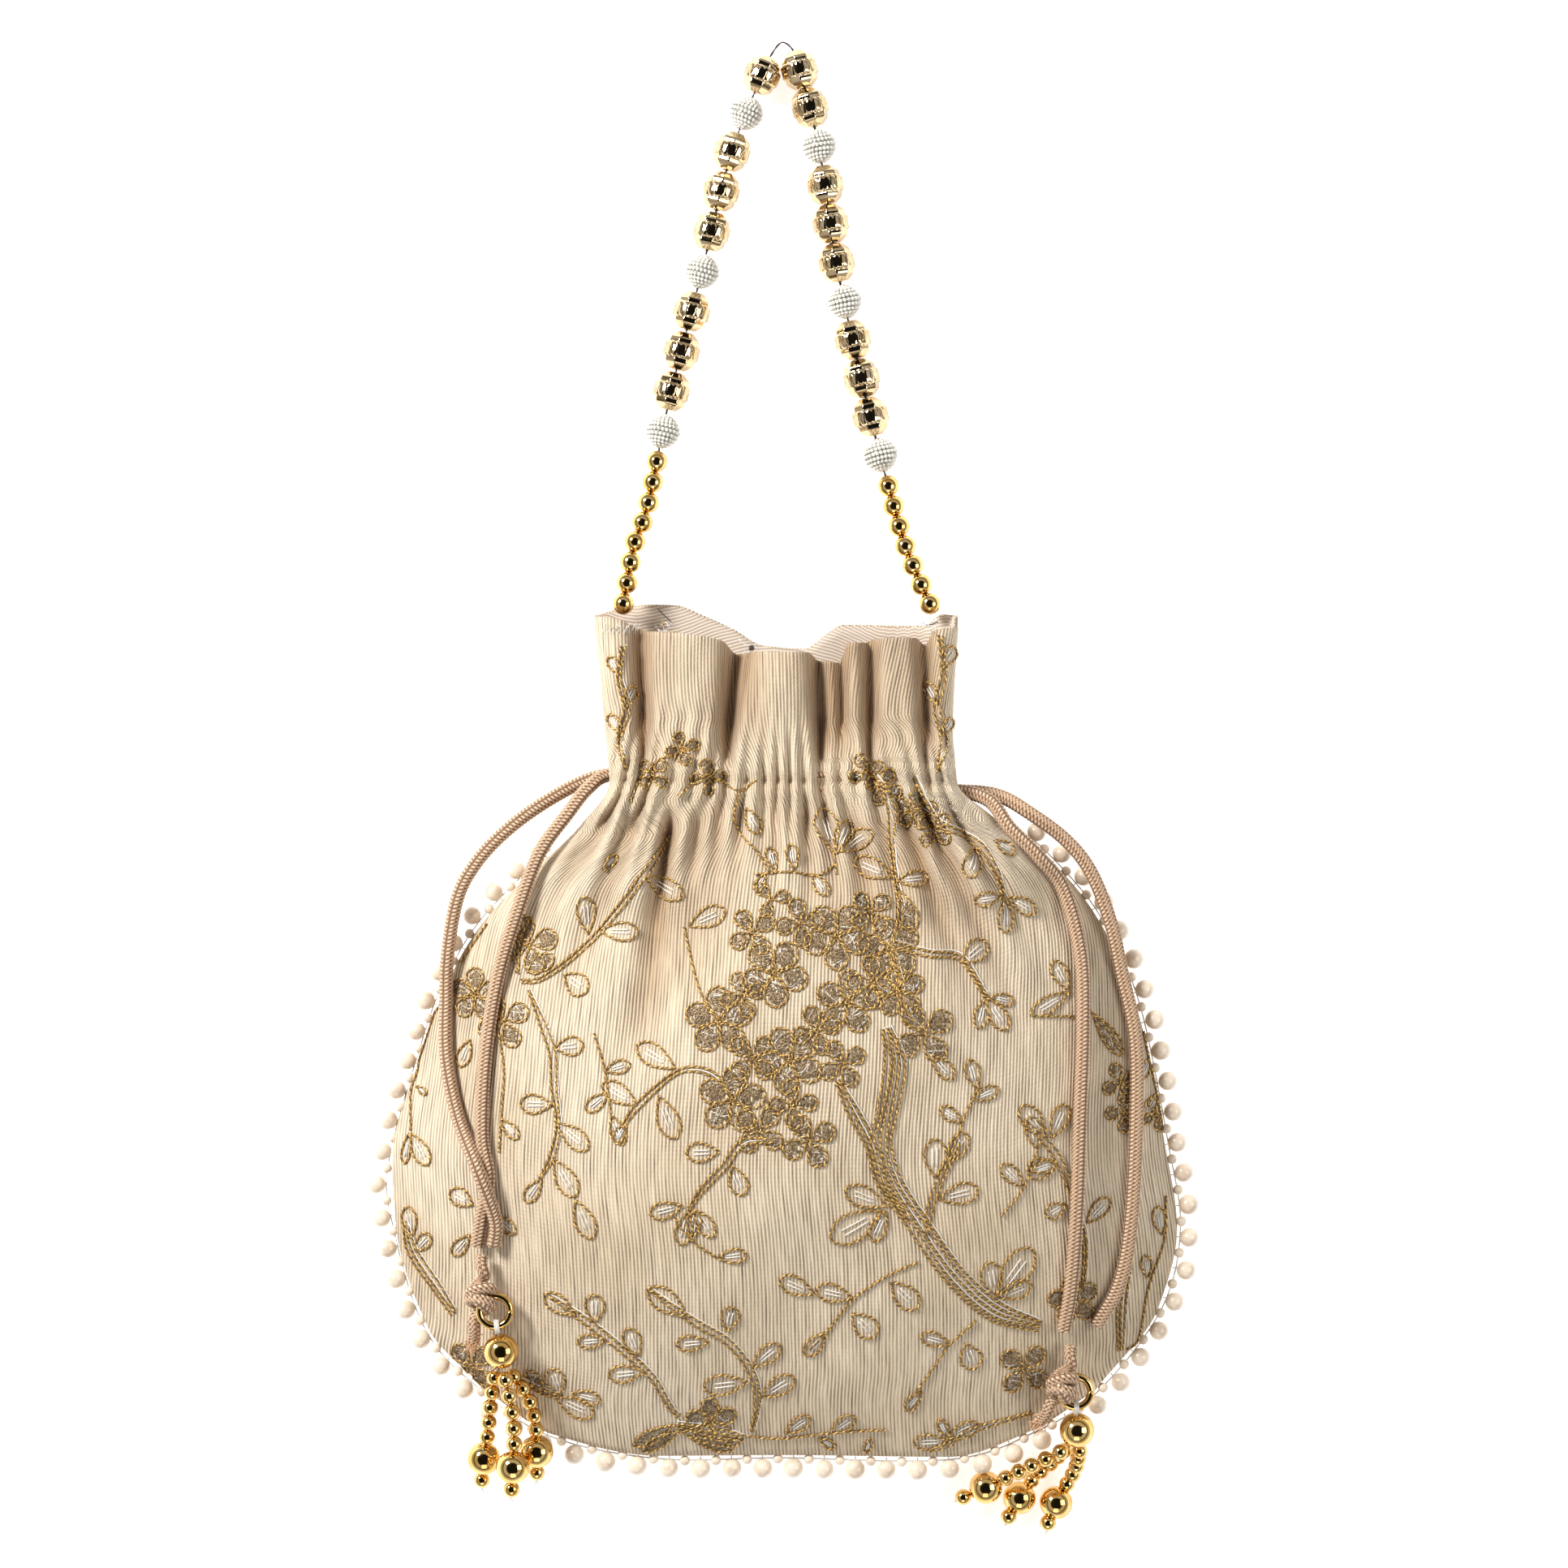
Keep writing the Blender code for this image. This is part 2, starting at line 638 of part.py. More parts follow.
def build_tassel(side, ring, direction, strands):
    centre, direction = Vector(ring), Vector(direction)
    torus(f"{side}_jump_ring", centre, RING_MAJOR, RING_WIRE, 20, 6, GOLD)
    level = Vector((direction.x, direction.y, 0)).normalized()
    wire = centre + RING_MAJOR * level
    bead = wire + (LOOP_MAJOR + LOOP_WIRE + TOUCH_GAP + TOP_BEAD_RADIUS) * direction.normalized()
    upright = Matrix.Rotation(math.atan2(level.y, level.x), 4, "Z") @ Matrix.Rotation(math.pi / 2, 4, "X")
    torus(f"{side}_tassel_thread", wire, LOOP_MAJOR, LOOP_WIRE, 12, 4, WHITE, upright)
    profile = ball_profile(TOP_BEAD_RADIUS, 2 * TOP_BEAD_RADIUS, BORE_RADIUS, 6)
    turned(f"{side}_tassel_bead", profile, BEAD_SEGMENTS, facing(bead, direction), GOLD)
    for number, route in enumerate(strands, 1):
        build_strand(f"{side}_tassel_strand_{number}", route)


def build_strand(name, route):
    """Five small beads, a large one and an end bead on a thread, as one string."""
    fine = curve_through(route, STRAND_STEP)
    lengths = [0.0]
    for a, b in zip(fine, fine[1:]):
        lengths.append(lengths[-1] + (b - a).length)
    sizes = [STRAND_SMALL] * 5 + [STRAND_LARGE, STRAND_END]
    room = (lengths[-1] - 2 * sum(sizes)) / len(sizes)
    points, radii = [fine[0]], [STRAND_THREAD]
    at = 0.0
    for size in sizes:
        middle = at + room + size
        for share in SMALL_SHARES if size < STRAND_LARGE else LARGE_SHARES:
            points.append(along(fine, lengths, middle + share * size))
            radii.append(size * math.sqrt(1 - share**2))
        at = middle + size
    tube(name, points, radii, GOLD, sides=1)


# ----------------------------------------------------------------------------------------- handle
def walk(route, gaps):
    """Points at these distances along a smooth route, with the direction there."""
    fine = curve_through(route, WALK_STEP)
    lengths = [0.0]
    for a, b in zip(fine, fine[1:]):
        lengths.append(lengths[-1] + (b - a).length)
    found = []
    for gap in gaps:
        here = along(fine, lengths, gap)
        ahead = along(fine, lengths, min(gap + 2 * WALK_STEP, lengths[-1]))
        behind = along(fine, lengths, max(gap - 2 * WALK_STEP, 0.0))
        found.append((here, ahead - behind))
    return found, lengths[-1]


def build_handle_side(side, route, kinds, pitch, small):
    total = walk(route, [])[1]
    gaps = [i * pitch for i in range(len(kinds))]
    first_small = total - (small - 1) * SMALL_PITCH
    gaps += [first_small + i * SMALL_PITCH for i in range(small)]
    places = walk(route, gaps)[0]
    faceted = faceted_profile(FACETED_RADIUS, FACETED_LENGTH, BORE_RADIUS)
    ball = ball_profile(PEARL_BALL_RADIUS, 2 * PEARL_BALL_RADIUS, BORE_RADIUS, 6)
    little = ball_profile(SMALL_RADIUS, SMALL_LENGTH, BORE_RADIUS, 4)
    for number, (kind, (centre, direction)) in enumerate(zip(kinds, places), 1):
        bead = ("faceted", faceted, CHAMPAGNE) if kind == "F" else ("pearl", ball, PEARL)
        name, profile, colour = bead
        place = facing(centre, direction)
        turned(f"{side}_{name}_bead_{number:02d}", profile, BEAD_SEGMENTS, place, colour)
    for number, (centre, direction) in enumerate(places[len(kinds):], 1):
        place = facing(centre, direction)
        turned(f"{side}_gold_bead_{number}", little, BEAD_SEGMENTS, place, GOLD)
    return [centre for centre, _ in places]


def build_handle():
    left = build_handle_side("left", LEFT_HANDLE, LEFT_LARGE, LEFT_PITCH, LEFT_SMALL)
    right = build_handle_side("right", RIGHT_HANDLE, RIGHT_LARGE, RIGHT_PITCH, RIGHT_SMALL)
    up_left = (left[0] - left[1]).normalized() * FACETED_LENGTH / 2
    up_right = (right[0] - right[1]).normalized() * FACETED_LENGTH / 2
    top_left, top_right = left[0] + up_left, right[0] + up_right
    apex = (top_left + top_right) / 2 + Vector((0, APEX_HEIGHT, 0))
    path = [*left[::-1], top_left, apex, top_right, *right]
    points = curve_through(path, THREAD_STEP)
    tube("handle_thread", points, [THREAD_RADIUS] * len(points), DARK, sides=0)


# Colours: (base colour, roughness, metallic)
CREAM = ((0.84, 0.74, 0.58), 0.85)
GREY = ((0.62, 0.56, 0.52), 0.8)
PEARL = ((0.88, 0.80, 0.70), 0.25)
TAN = ((0.55, 0.36, 0.23), 0.8)
GOLD = ((0.80, 0.56, 0.20), 0.2, 1.0)
CHAMPAGNE = ((0.84, 0.68, 0.46), 0.15, 1.0)
WHITE = ((0.85, 0.83, 0.78), 0.6)
DARK = ((0.12, 0.08, 0.06), 0.7)


def main():
    build_cloth()
    build_pearls()
    build_cord("left_drawcord", -1, CASING_Y + CORD_SPACING / 2, LEFT_INNER_LEG, LEFT_OUTER_LEG)
    build_cord("right_drawcord", 1, CASING_Y - CORD_SPACING / 2, RIGHT_INNER_LEG, RIGHT_OUTER_LEG)
    build_knot("left_cord_knot", LEFT_KNOT, LEFT_RING)
    build_knot("right_cord_knot", RIGHT_KNOT, RIGHT_RING)
    build_tassel("left", LEFT_RING, LEFT_BEAD_DIRECTION, LEFT_STRANDS)
    build_tassel("right", RIGHT_RING, RIGHT_BEAD_DIRECTION, RIGHT_STRANDS)
    build_handle()


clear_scene()
BAG = new_collection("potli_bag")
CUTTERS = new_collection("cutters", hidden=True)
main()
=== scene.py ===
"""The looks of a beaded potli bag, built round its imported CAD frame.

Metres, in the frame's own axes: +X is the bag's right, +Y runs from the belly to the neck and the
handle, and +Z is up, out of the front. Tables marked mm hold millimetres.
"""

import math
import random

import bpy
import numpy as np
from mathutils import Matrix, Vector
from mathutils.bvhtree import BVHTree


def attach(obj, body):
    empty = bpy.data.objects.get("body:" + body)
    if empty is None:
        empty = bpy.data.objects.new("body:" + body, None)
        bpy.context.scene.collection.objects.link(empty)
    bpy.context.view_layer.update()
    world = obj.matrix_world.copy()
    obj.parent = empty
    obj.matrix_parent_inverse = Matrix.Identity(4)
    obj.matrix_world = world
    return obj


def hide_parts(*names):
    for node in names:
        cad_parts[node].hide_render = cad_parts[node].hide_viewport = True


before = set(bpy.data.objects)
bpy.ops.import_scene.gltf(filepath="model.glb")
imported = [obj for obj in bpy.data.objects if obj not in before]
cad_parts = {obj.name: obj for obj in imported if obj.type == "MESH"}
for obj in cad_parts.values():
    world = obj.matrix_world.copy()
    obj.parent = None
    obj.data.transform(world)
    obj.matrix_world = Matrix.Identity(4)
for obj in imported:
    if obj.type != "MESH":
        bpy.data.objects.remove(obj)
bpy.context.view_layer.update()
MM = 0.001
random.seed(7)

# ------------------------------------------------------------------------- sizes, as in the CAD
CLOTH = 0.0008
LINING = 0.0006
LINING_GAP = 0.0013
LINING_LIFT = 0.0035
LINING_TOP = 0.985  # the share of the height that the lining reaches
BACK_LINING_TOP = 0.998
SEAM_GAP = 0.0008
CORNER_Y = -0.0714
RIM_Y = 0.1460
BOTTOM_EDGE = 0.10
BOTTOM_SPREAD = 3
CORD_RADIUS = 0.0020
CORD_SPACING = 0.0046
CASING_Y = 0.0990
PEARL_RADIUS = 0.00285
PEARL_PITCH = 0.0087
PEARL_OFFSET = 0.0037
PEARL_TOPS = (0.0820, 0.0860)
SEED_PEARL_RADIUS = 0.00145
SEED_PEARL_OFFSET = 0.0012
EDGING_THREAD_OFFSET = 0.0010
SEWING_RADIUS = 0.00018
STRING_RADIUS = 0.00022
FACETED_RADIUS = 0.0051
FACETED_LENGTH = 0.0107
PEARL_BALL_RADIUS = 0.0052
SMALL_RADIUS = 0.0030
SMALL_LENGTH = 0.0057
BORE_RADIUS = 0.0009
RING_MAJOR = 0.00425
RING_WIRE = 0.0011
TOP_BEAD_RADIUS = 0.0049
LOOP_MAJOR = 0.00175
LOOP_WIRE = 0.00035
STRAND_SMALL = 0.0023
STRAND_LARGE = 0.0048
STRAND_END = 0.00235
TOUCH_GAP = 0.0003

# Side seams: (y, x) from the bottom corners to the rim. Bottom seam: (x, y).
LEFT_SEAM = [
    (-0.0714, -0.0834), (-0.0542, -0.0995), (-0.0243, -0.1088), (-0.0070, -0.1097),
    (0.0268, -0.1003), (0.0432, -0.0942), (0.0587, -0.0852), (0.0726, -0.0722),
    (0.0880, -0.0560), (0.0990, -0.0485), (0.1150, -0.0500), (0.1460, -0.0530),
]
RIGHT_SEAM = [
    (-0.0714, 0.0874), (-0.0484, 0.1052), (-0.0260, 0.1105), (-0.0024, 0.1071),
    (0.0309, 0.1006), (0.0482, 0.0948), (0.0647, 0.0858), (0.0796, 0.0725),
    (0.0900, 0.0580), (0.0990, 0.0485), (0.1150, 0.0475), (0.1460, 0.0490),
]
BOTTOM_SEAM = [
    (-0.0834, -0.0714), (-0.0646, -0.0837), (-0.0350, -0.0897), (0.0000, -0.0895),
    (0.0465, -0.0900), (0.0695, -0.0827), (0.0874, -0.0714),
]

# Heights, as (fraction from the bottom seam to the rim, metres).
SEAM_HEIGHT = [(0.0, 0.0100), (0.60, 0.0100), (0.784, 0.0130), (1.0, 0.0130)]
FRONT_CROWN = [
    (0.0, 0.0), (0.02, 0.0045), (0.05, 0.0100), (0.10, 0.0180), (0.20, 0.0285), (0.30, 0.0345),
    (0.40, 0.0360), (0.50, 0.0345), (0.60, 0.0290), (0.70, 0.0200), (0.784, 0.0120),
    (0.86, 0.0135), (1.0, 0.0145),
]
BACK_DEPTH = [
    (0.0, 0.0), (0.03, 0.0070), (0.10, 0.0125), (0.20, 0.0160), (0.55, 0.0160),
    (0.70, 0.0125), (0.784, 0.0120), (1.0, 0.0122),
]
FULLNESS = [(0.0, 2.1), (0.60, 2.1), (0.77, 8.0), (0.82, 8.0), (1.0, 6.0)]
ROUNDNESS = [(0.0, 0.9), (0.60, 0.9), (0.77, 0.5), (1.0, 0.5)]
SLIT = [
    (0.0, 0.0014), (0.05, SEAM_GAP), (0.725, SEAM_GAP), (0.755, 0.0060), (0.815, 0.0060),
    (0.845, SEAM_GAP), (1.0, SEAM_GAP),
]

# Cord routes, from the casing's side slit to the knot.
LEFT_INNER_LEG = [
    (-0.0485, 0.1013, 0.0154), (-0.0545, 0.0975, 0.0180), (-0.0600, 0.0905, 0.0200),
    (-0.0681, 0.0790, 0.0206), (-0.0742, 0.0624, 0.0222), (-0.0794, 0.0444, 0.0241),
    (-0.0825, 0.0232, 0.0271), (-0.0833, 0.0020, 0.0296), (-0.0815, -0.0100, 0.0304),
    (-0.0833, -0.0204, 0.0288), (-0.0848, -0.0290, 0.0268),
]
LEFT_OUTER_LEG = [
    (-0.0485, 0.1013, 0.0106), (-0.0570, 0.0990, 0.0106), (-0.0685, 0.0925, 0.0125),
    (-0.0785, 0.0848, 0.0140), (-0.0860, 0.0765, 0.0150), (-0.0910, 0.0670, 0.0157),
    (-0.0937, 0.0520, 0.0157), (-0.0942, 0.0382, 0.0161), (-0.0937, 0.0220, 0.0207),
    (-0.0900, 0.0060, 0.0258), (-0.0840, -0.0080, 0.0331), (-0.0795, -0.0215, 0.0304),
    (-0.0800, -0.0290, 0.0287),
]
RIGHT_INNER_LEG = [
    (0.0485, 0.0967, 0.0154), (0.0575, 0.0940, 0.0180), (0.0630, 0.0865, 0.0222),
    (0.0710, 0.0785, 0.0230), (0.0780, 0.0692, 0.0203), (0.0826, 0.0511, 0.0221),
    (0.0830, 0.0315, 0.0264), (0.0819, 0.0041, 0.0292), (0.0811, -0.0189, 0.0297),
    (0.0797, -0.0400, 0.0273), (0.0778, -0.0530, 0.0246),
]
RIGHT_OUTER_LEG = [
    (0.0485, 0.0967, 0.0106), (0.0600, 0.0955, 0.0115), (0.0690, 0.0905, 0.0157),
    (0.0790, 0.0830, 0.0157), (0.0860, 0.0740, 0.0157), (0.0915, 0.0600, 0.0157),
    (0.0947, 0.0456, 0.0154), (0.0983, 0.0275, 0.0170), (0.0983, 0.0041, 0.0201),
    (0.0967, -0.0229, 0.0218), (0.0935, -0.0400, 0.0216), (0.0870, -0.0520, 0.0213),
]
CASING_HALF = 0.0076
CASING_TURN_X = 0.0360
CASING_MID_Z = 0.0130
CASING_RUN_X = (0.0220, 0.0100, -0.0050, -0.0200)
CASING_LEVEL_X = 0.0350
LEFT_KNOT = [
    (-0.0832, -0.0315, 0.0285), (-0.0838, -0.0370, 0.0288), (-0.0835, -0.0435, 0.0285),
    (-0.0850, -0.0500, 0.0265), (-0.0862, -0.0560, 0.0240),
]
RIGHT_KNOT = [
    (0.0800, -0.0570, 0.0245), (0.0790, -0.0620, 0.0245), (0.0775, -0.0690, 0.0240),
    (0.0745, -0.0750, 0.0205), (0.0715, -0.0790, 0.0180),
]
LEFT_RING = (-0.0797, -0.0470, 0.0290)
RIGHT_RING = (0.0812, -0.0702, 0.0225)
LEFT_BEAD_DIRECTION = (0.0016, -0.0112, -0.0026)
RIGHT_BEAD_DIRECTION = (0.0006, -0.0112, -0.0044)
LEFT_STRANDS = [
    [(-0.0798, -0.0640, 0.0242), (-0.0815, -0.0740, 0.0210), (-0.0825, -0.0830, 0.0180),
     (-0.0842, -0.0930, 0.0135), (-0.0845, -0.0985, 0.0110)],
    [(-0.0775, -0.0640, 0.0275), (-0.0752, -0.0730, 0.0285), (-0.0745, -0.0830, 0.0270),
     (-0.0752, -0.0930, 0.0240), (-0.0757, -0.0995, 0.0210)],
    [(-0.0762, -0.0645, 0.0222), (-0.0712, -0.0715, 0.0218), (-0.0692, -0.0780, 0.0205),
     (-0.0688, -0.0860, 0.0182), (-0.0690, -0.0960, 0.0140)],
]
RIGHT_STRANDS = [
    [(0.0830, -0.0870, 0.0150), (0.0822, -0.0935, 0.0085), (0.0797, -0.0990, 0.0050),
     (0.0755, -0.1065, 0.0053), (0.0740, -0.1115, 0.0070)],
    [(0.0796, -0.0878, 0.0095), (0.0757, -0.0928, 0.0042), (0.0705, -0.0972, 0.0036),
     (0.0652, -0.1045, 0.0055), (0.0624, -0.1095, 0.0075)],
    [(0.0794, -0.0866, 0.0180), (0.0718, -0.0905, 0.0165), (0.0640, -0.0950, 0.0118),
     (0.0545, -0.1005, 0.0062), (0.0485, -0.1030, 0.0060)],
]

# Handle routes, from the apex to the rim.
LEFT_HANDLE = [
    (-0.0060, 0.2984, 0.0054), (-0.0146, 0.2767, 0.0054), (-0.0228, 0.2437, 0.0054),
    (-0.0314, 0.2102, 0.0054), (-0.0338, 0.1992, 0.0054), (-0.0381, 0.1772, 0.0080),
    (-0.0419, 0.1656, 0.0105), (-0.0448, 0.1492, 0.0130),
]
RIGHT_HANDLE = [
    (0.0045, 0.2999, 0.0054), (0.0100, 0.2785, 0.0054), (0.0150, 0.2452, 0.0054),
    (0.0221, 0.2125, 0.0054), (0.0275, 0.1906, 0.0054), (0.0334, 0.1682, 0.0092),
    (0.0373, 0.1577, 0.0115), (0.0410, 0.1492, 0.0130),
]
LEFT_LARGE = "FPFFFPFFFP"
RIGHT_LARGE = "FFPFFFPFFFP"
LEFT_SMALL = 8
RIGHT_SMALL = 7
LEFT_PITCH = 0.0116
RIGHT_PITCH = 0.0111
SMALL_PITCH = 0.0060
APEX_HEIGHT = 0.0035

# --------------------------------------------------------------------------- the cloth's own shape
# Valleys of the ruffle, mm: (x at the casing, x at the rim, depth, half width).
RUFFLE_VALLEYS = [
    (-38.5, -40.0, 7.0, 2.2), (-16.5, -13.0, 9.5, 2.4), (11.0, 9.5, 9.0, 2.2),
    (16.5, 16.0, 5.5, 1.6), (24.5, 24.0, 7.5, 2.0), (40.0, 39.0, 7.0, 2.2),
    (-27.0, -31.0, 1.2, 4.0), (-6.0, -9.0, 1.6, 3.0), (31.0, 33.0, 1.4, 3.5),
]
# Folds that run from the casing into the belly, mm: (x at casing, x and y at the lower end, depth).
BELLY_FOLDS = [
    (-43.0, -78.0, 60.0, 3.0), (-37.5, -62.0, 50.0, 3.6), (-30.5, -38.5, 38.0, 5.6),
    (-23.5, -27.5, 56.0, 3.2), (-19.0, -19.0, 68.0, 2.6), (-12.5, -12.0, 72.0, 2.0),
    (-3.5, -4.0, 76.0, 1.6), (6.5, 8.0, 66.0, 2.6), (12.0, 16.5, 60.0, 2.6),
    (17.5, 28.0, 54.0, 4.2), (24.0, 38.0, 58.0, 3.6), (29.5, 52.0, 52.0, 4.8),
    (36.0, 64.0, 50.0, 4.4), (42.0, 76.0, 58.0, 3.4),
]
CASING_PUCKERS = 21
CASING_PUCKER_DEPTH = 1.5 * MM
CASING_LIFT = 3.4 * MM
CASING_DEEPEST = 1.7 * MM  # how far below its plain height the cloth may dip over the cords
# The front rim, mm: (x, how far below the CAD rim's own height its edge lies).
FRONT_RIM = [
    (-53, 0.5), (-46, 1.5), (-40.5, 4.0), (-38, 4.8), (-28, 5.5), (-17, 7.5), (-13, 11.0),
    (-10, 10.5), (7, 10.8), (10, 13.0), (15.5, 13.5), (18, 8.0), (23, 8.0), (25, 7.0),
    (37, 6.6), (39.5, 8.5), (42, 4.5), (49, 3.5),
]
# The back rim, mm: (x, how far it stands above the CAD rim).
BACK_RIM = [
    (-53, 0.0), (-47, 2.0), (-38, 3.4), (-30, 3.2), (-24, 1.0), (-14, -3.5), (-6, -8.0),
    (6, -9.0), (12, -5.0), (17, -2.2), (28, -2.4), (40, -2.6), (45, 0.5), (49, 0.0),
]
FRONT_COLUMNS, FRONT_ROWS = 270, 132
SHADED_DEPTH = 6 * MM  # a fold this deep gets the darkest painted shade
DARKEST_SHADE = 0.8
BACK_COLUMNS, BACK_ROWS = 90, 70
RIB_PITCH = 0.00100


# ---------------------------------------------------------------------------------------- helpers
def blended(knots, t):
    """The smooth value at t, a number or an array, of a table of (t, value) rows."""
    xs, ys = np.array(knots, float).T
    steps = np.diff(xs)
    slopes = np.diff(ys) / steps
    turn = slopes[:-1] * slopes[1:] > 0
    total = np.where(turn, slopes[:-1] + slopes[1:], 1.0)
    inner = np.where(turn, 2 * slopes[:-1] * slopes[1:] / total, 0.0)
    ends = np.concatenate([slopes[:1], inner, slopes[-1:]])
    t = np.clip(t, xs[0], xs[-1])
    i = np.clip(np.searchsorted(xs, t, side="left") - 1, 0, len(xs) - 2)
    s = (t - xs[i]) / steps[i]
    return ((2 * s**3 - 3 * s**2 + 1) * ys[i] + (s**3 - 2 * s**2 + s) * steps[i] * ends[i]
            + (3 * s**2 - 2 * s**3) * ys[i + 1] + (s**3 - s**2) * steps[i] * ends[i + 1])


def curve_through(points, spacing):
    """Points about `spacing` apart on the smooth curve through the given ones."""
    points = [Vector(point) for point in points]
    ends = [2 * points[0] - points[1], *points, 2 * points[-1] - points[-2]]
    dense = []
    for a, b, c, d in zip(ends, ends[1:], ends[2:], ends[3:]):
        for step in range(20):
            t = step / 20
            dense.append(0.5 * (2 * b + (c - a) * t + (2 * a - 5 * b + 4 * c - d) * t**2
                                + (3 * b - a - 3 * c + d) * t**3))
    dense.append(points[-1])
    return resampled(dense, spacing)


def resampled(points, spacing):
    """Points about `spacing` apart along a polyline."""
    line = np.array([tuple(p) for p in points])
    lengths = np.concatenate([[0.0], np.cumsum(np.linalg.norm(np.diff(line, axis=0), axis=1))])
    count = max(2, round(lengths[-1] / spacing))
    wanted = np.linspace(0, lengths[-1], count + 1)
    return [Vector(p) for p in np.stack([np.interp(wanted, lengths, line[:, k]) for k in range(3)], 1)]


def walk(route, gaps):
    """Points at these distances along a smooth route, with the direction there."""
    fine = curve_through(route, 0.0005)
    line = np.array([tuple(p) for p in fine])
    lengths = np.concatenate([[0.0], np.cumsum(np.linalg.norm(np.diff(line, axis=0), axis=1))])

    def at(distance):
        return Vector([np.interp(distance, lengths, line[:, k]) for k in range(3)])

    return [(at(g), at(g + 0.001) - at(max(g - 0.001, 0))) for g in gaps], lengths[-1]


def facing(centre, direction, spin=0.0):
    """The place of a bead whose bore lies along a direction."""
    turn = Vector((0, 0, 1)).rotation_difference(Vector(direction)).to_matrix().to_4x4()
    return Matrix.Translation(centre) @ turn @ Matrix.Rotation(spin, 4, "Z")


class Shape:
    """Points and faces being gathered for one piece, with a shade from 0 to 1 at each point."""

    def __init__(self):
        self.points, self.faces, self.shades, self.runs = [], [], [], []

    def add(self, points, faces, shades=None, runs=None):
        start = len(self.points)
        self.points.extend(tuple(p) for p in points)
        self.faces.extend(tuple(start + i for i in face) for face in faces)
        self.shades.extend(shades if shades is not None else [1.0] * len(points))
        self.runs.extend(runs if runs is not None else [(0.0, 0.0)] * len(points))

    def tube(self, line, radius, sides=5, twist=0.0, shade=1.0, relief=None):
        """A round tube; relief(distance, angle) gives (share of the radius, shade) there."""
        line = [Vector(p) for p in line]
        if len(line) < 2:
            return
        radii = radius if isinstance(radius, (list, tuple)) else [radius] * len(line)
        tangent = (line[1] - line[0]).normalized()
        side = tangent.orthogonal().normalized()
        points, shades, runs, distance = [], [], [], 0.0
        for i, here in enumerate(line):
            ahead = line[min(i + 1, len(line) - 1)] - line[max(i - 1, 0)]
            if ahead.length > 1e-9:
                new = ahead.normalized()
                side = (tangent.rotation_difference(new) @ side)
                side = (side - side.dot(new) * new).normalized()
                tangent = new
            other = tangent.cross(side)
            if i:
                distance += (here - line[i - 1]).length
            for k in range(sides):
                angle = 2 * math.pi * k / sides + twist * distance
                share, tone = relief(distance, angle) if relief else (1.0, shade)
                reach = radii[i] * share
                points.append(here + reach * (math.cos(angle) * side + math.sin(angle) * other))
                shades.append(tone)
                runs.append((distance, k / sides))
        count = len(line)
        faces = [(i * sides + k, i * sides + (k + 1) % sides, (i + 1) * sides + (k + 1) % sides,
                  (i + 1) * sides + k) for i in range(count - 1) for k in range(sides)]
        faces += [tuple(range(sides))[::-1], tuple((count - 1) * sides + k for k in range(sides))]
        self.add(points, faces, shades, runs)

    def turned(self, outline, segments, place, relief=None):
        """A closed bead: an open (radius, height) outline turned about its bore."""
        points, shades = [], []
        for radius, height in outline:
            for k in range(segments):
                angle = 2 * math.pi * k / segments
                share, tone = relief(radius, height, angle) if relief else (1.0, 1.0)
                points.append(place @ Vector((radius * share * math.cos(angle),
                                              radius * share * math.sin(angle), height)))
                shades.append(tone)
        rings = len(outline)
        faces = [(i * segments + k, (i + 1) * segments + k, (i + 1) * segments + (k + 1) % segments,
                  i * segments + (k + 1) % segments) for i in range(rings - 1) for k in range(segments)]
        faces += [tuple(range(segments)), tuple((rings - 1) * segments + k for k in range(segments))[::-1]]
        self.add(points, faces, shades)

    def ball(self, centre, radius, rings=8, segments=12, shade=1.0):
        outline = [(max(radius * math.sin(math.pi * (i + 0.15) / (rings + 0.3)), radius * 0.03),
                    radius * math.cos(math.pi * (i + 0.15) / (rings + 0.3))) for i in range(rings + 1)]
        self.turned(outline, segments, Matrix.Translation(centre), lambda r, h, a: (1.0, shade))

    def piece(self, name, finish, body, replaced=(), slot=None, smooth=True):
        data = bpy.data.meshes.new(name)
        data.from_pydata(self.points, [], self.faces)
        tones = data.color_attributes.new("shade", "FLOAT_COLOR", "POINT")
        tones.data.foreach_set("color", np.repeat(np.array(self.shades, float), 4))
        uv = data.uv_layers.new(name="run")
        loops = np.empty(len(data.loops), np.int32)
        data.loops.foreach_get("vertex_index", loops)
        uv.data.foreach_set("uv", np.array(self.runs, float)[loops].ravel())
        data.polygons.foreach_set("use_smooth", [smooth] * len(data.polygons))
        return placed(name, data, finish, body, replaced)


def placed(name, data, finish, body, replaced=()):
    """A new piece that rides on a body, stands for these CAD nodes and takes this finish."""
    made = bpy.data.objects.new(name, data)
    bpy.context.scene.collection.objects.link(made)
    data.materials.append(finish)
    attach(made, body)
    if replaced:
        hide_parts(*replaced)
    return made


# --------------------------------------------------------------------------------------- finishes
def finish_of(name, colour, roughness, metallic=0.0, **more):
    """A new material, its node tree and its shader. `more` sets other sockets by name."""
    made = bpy.data.materials.new(name)
    made.use_nodes = True
    shader = made.node_tree.nodes["Principled BSDF"]
    shader.inputs["Base Color"].default_value = (*colour, 1.0)
    shader.inputs["Roughness"].default_value = roughness
    shader.inputs["Metallic"].default_value = metallic
    for key, value in more.items():
        shader.inputs[key.replace("_", " ")].default_value = value
    return made, made.node_tree, shader


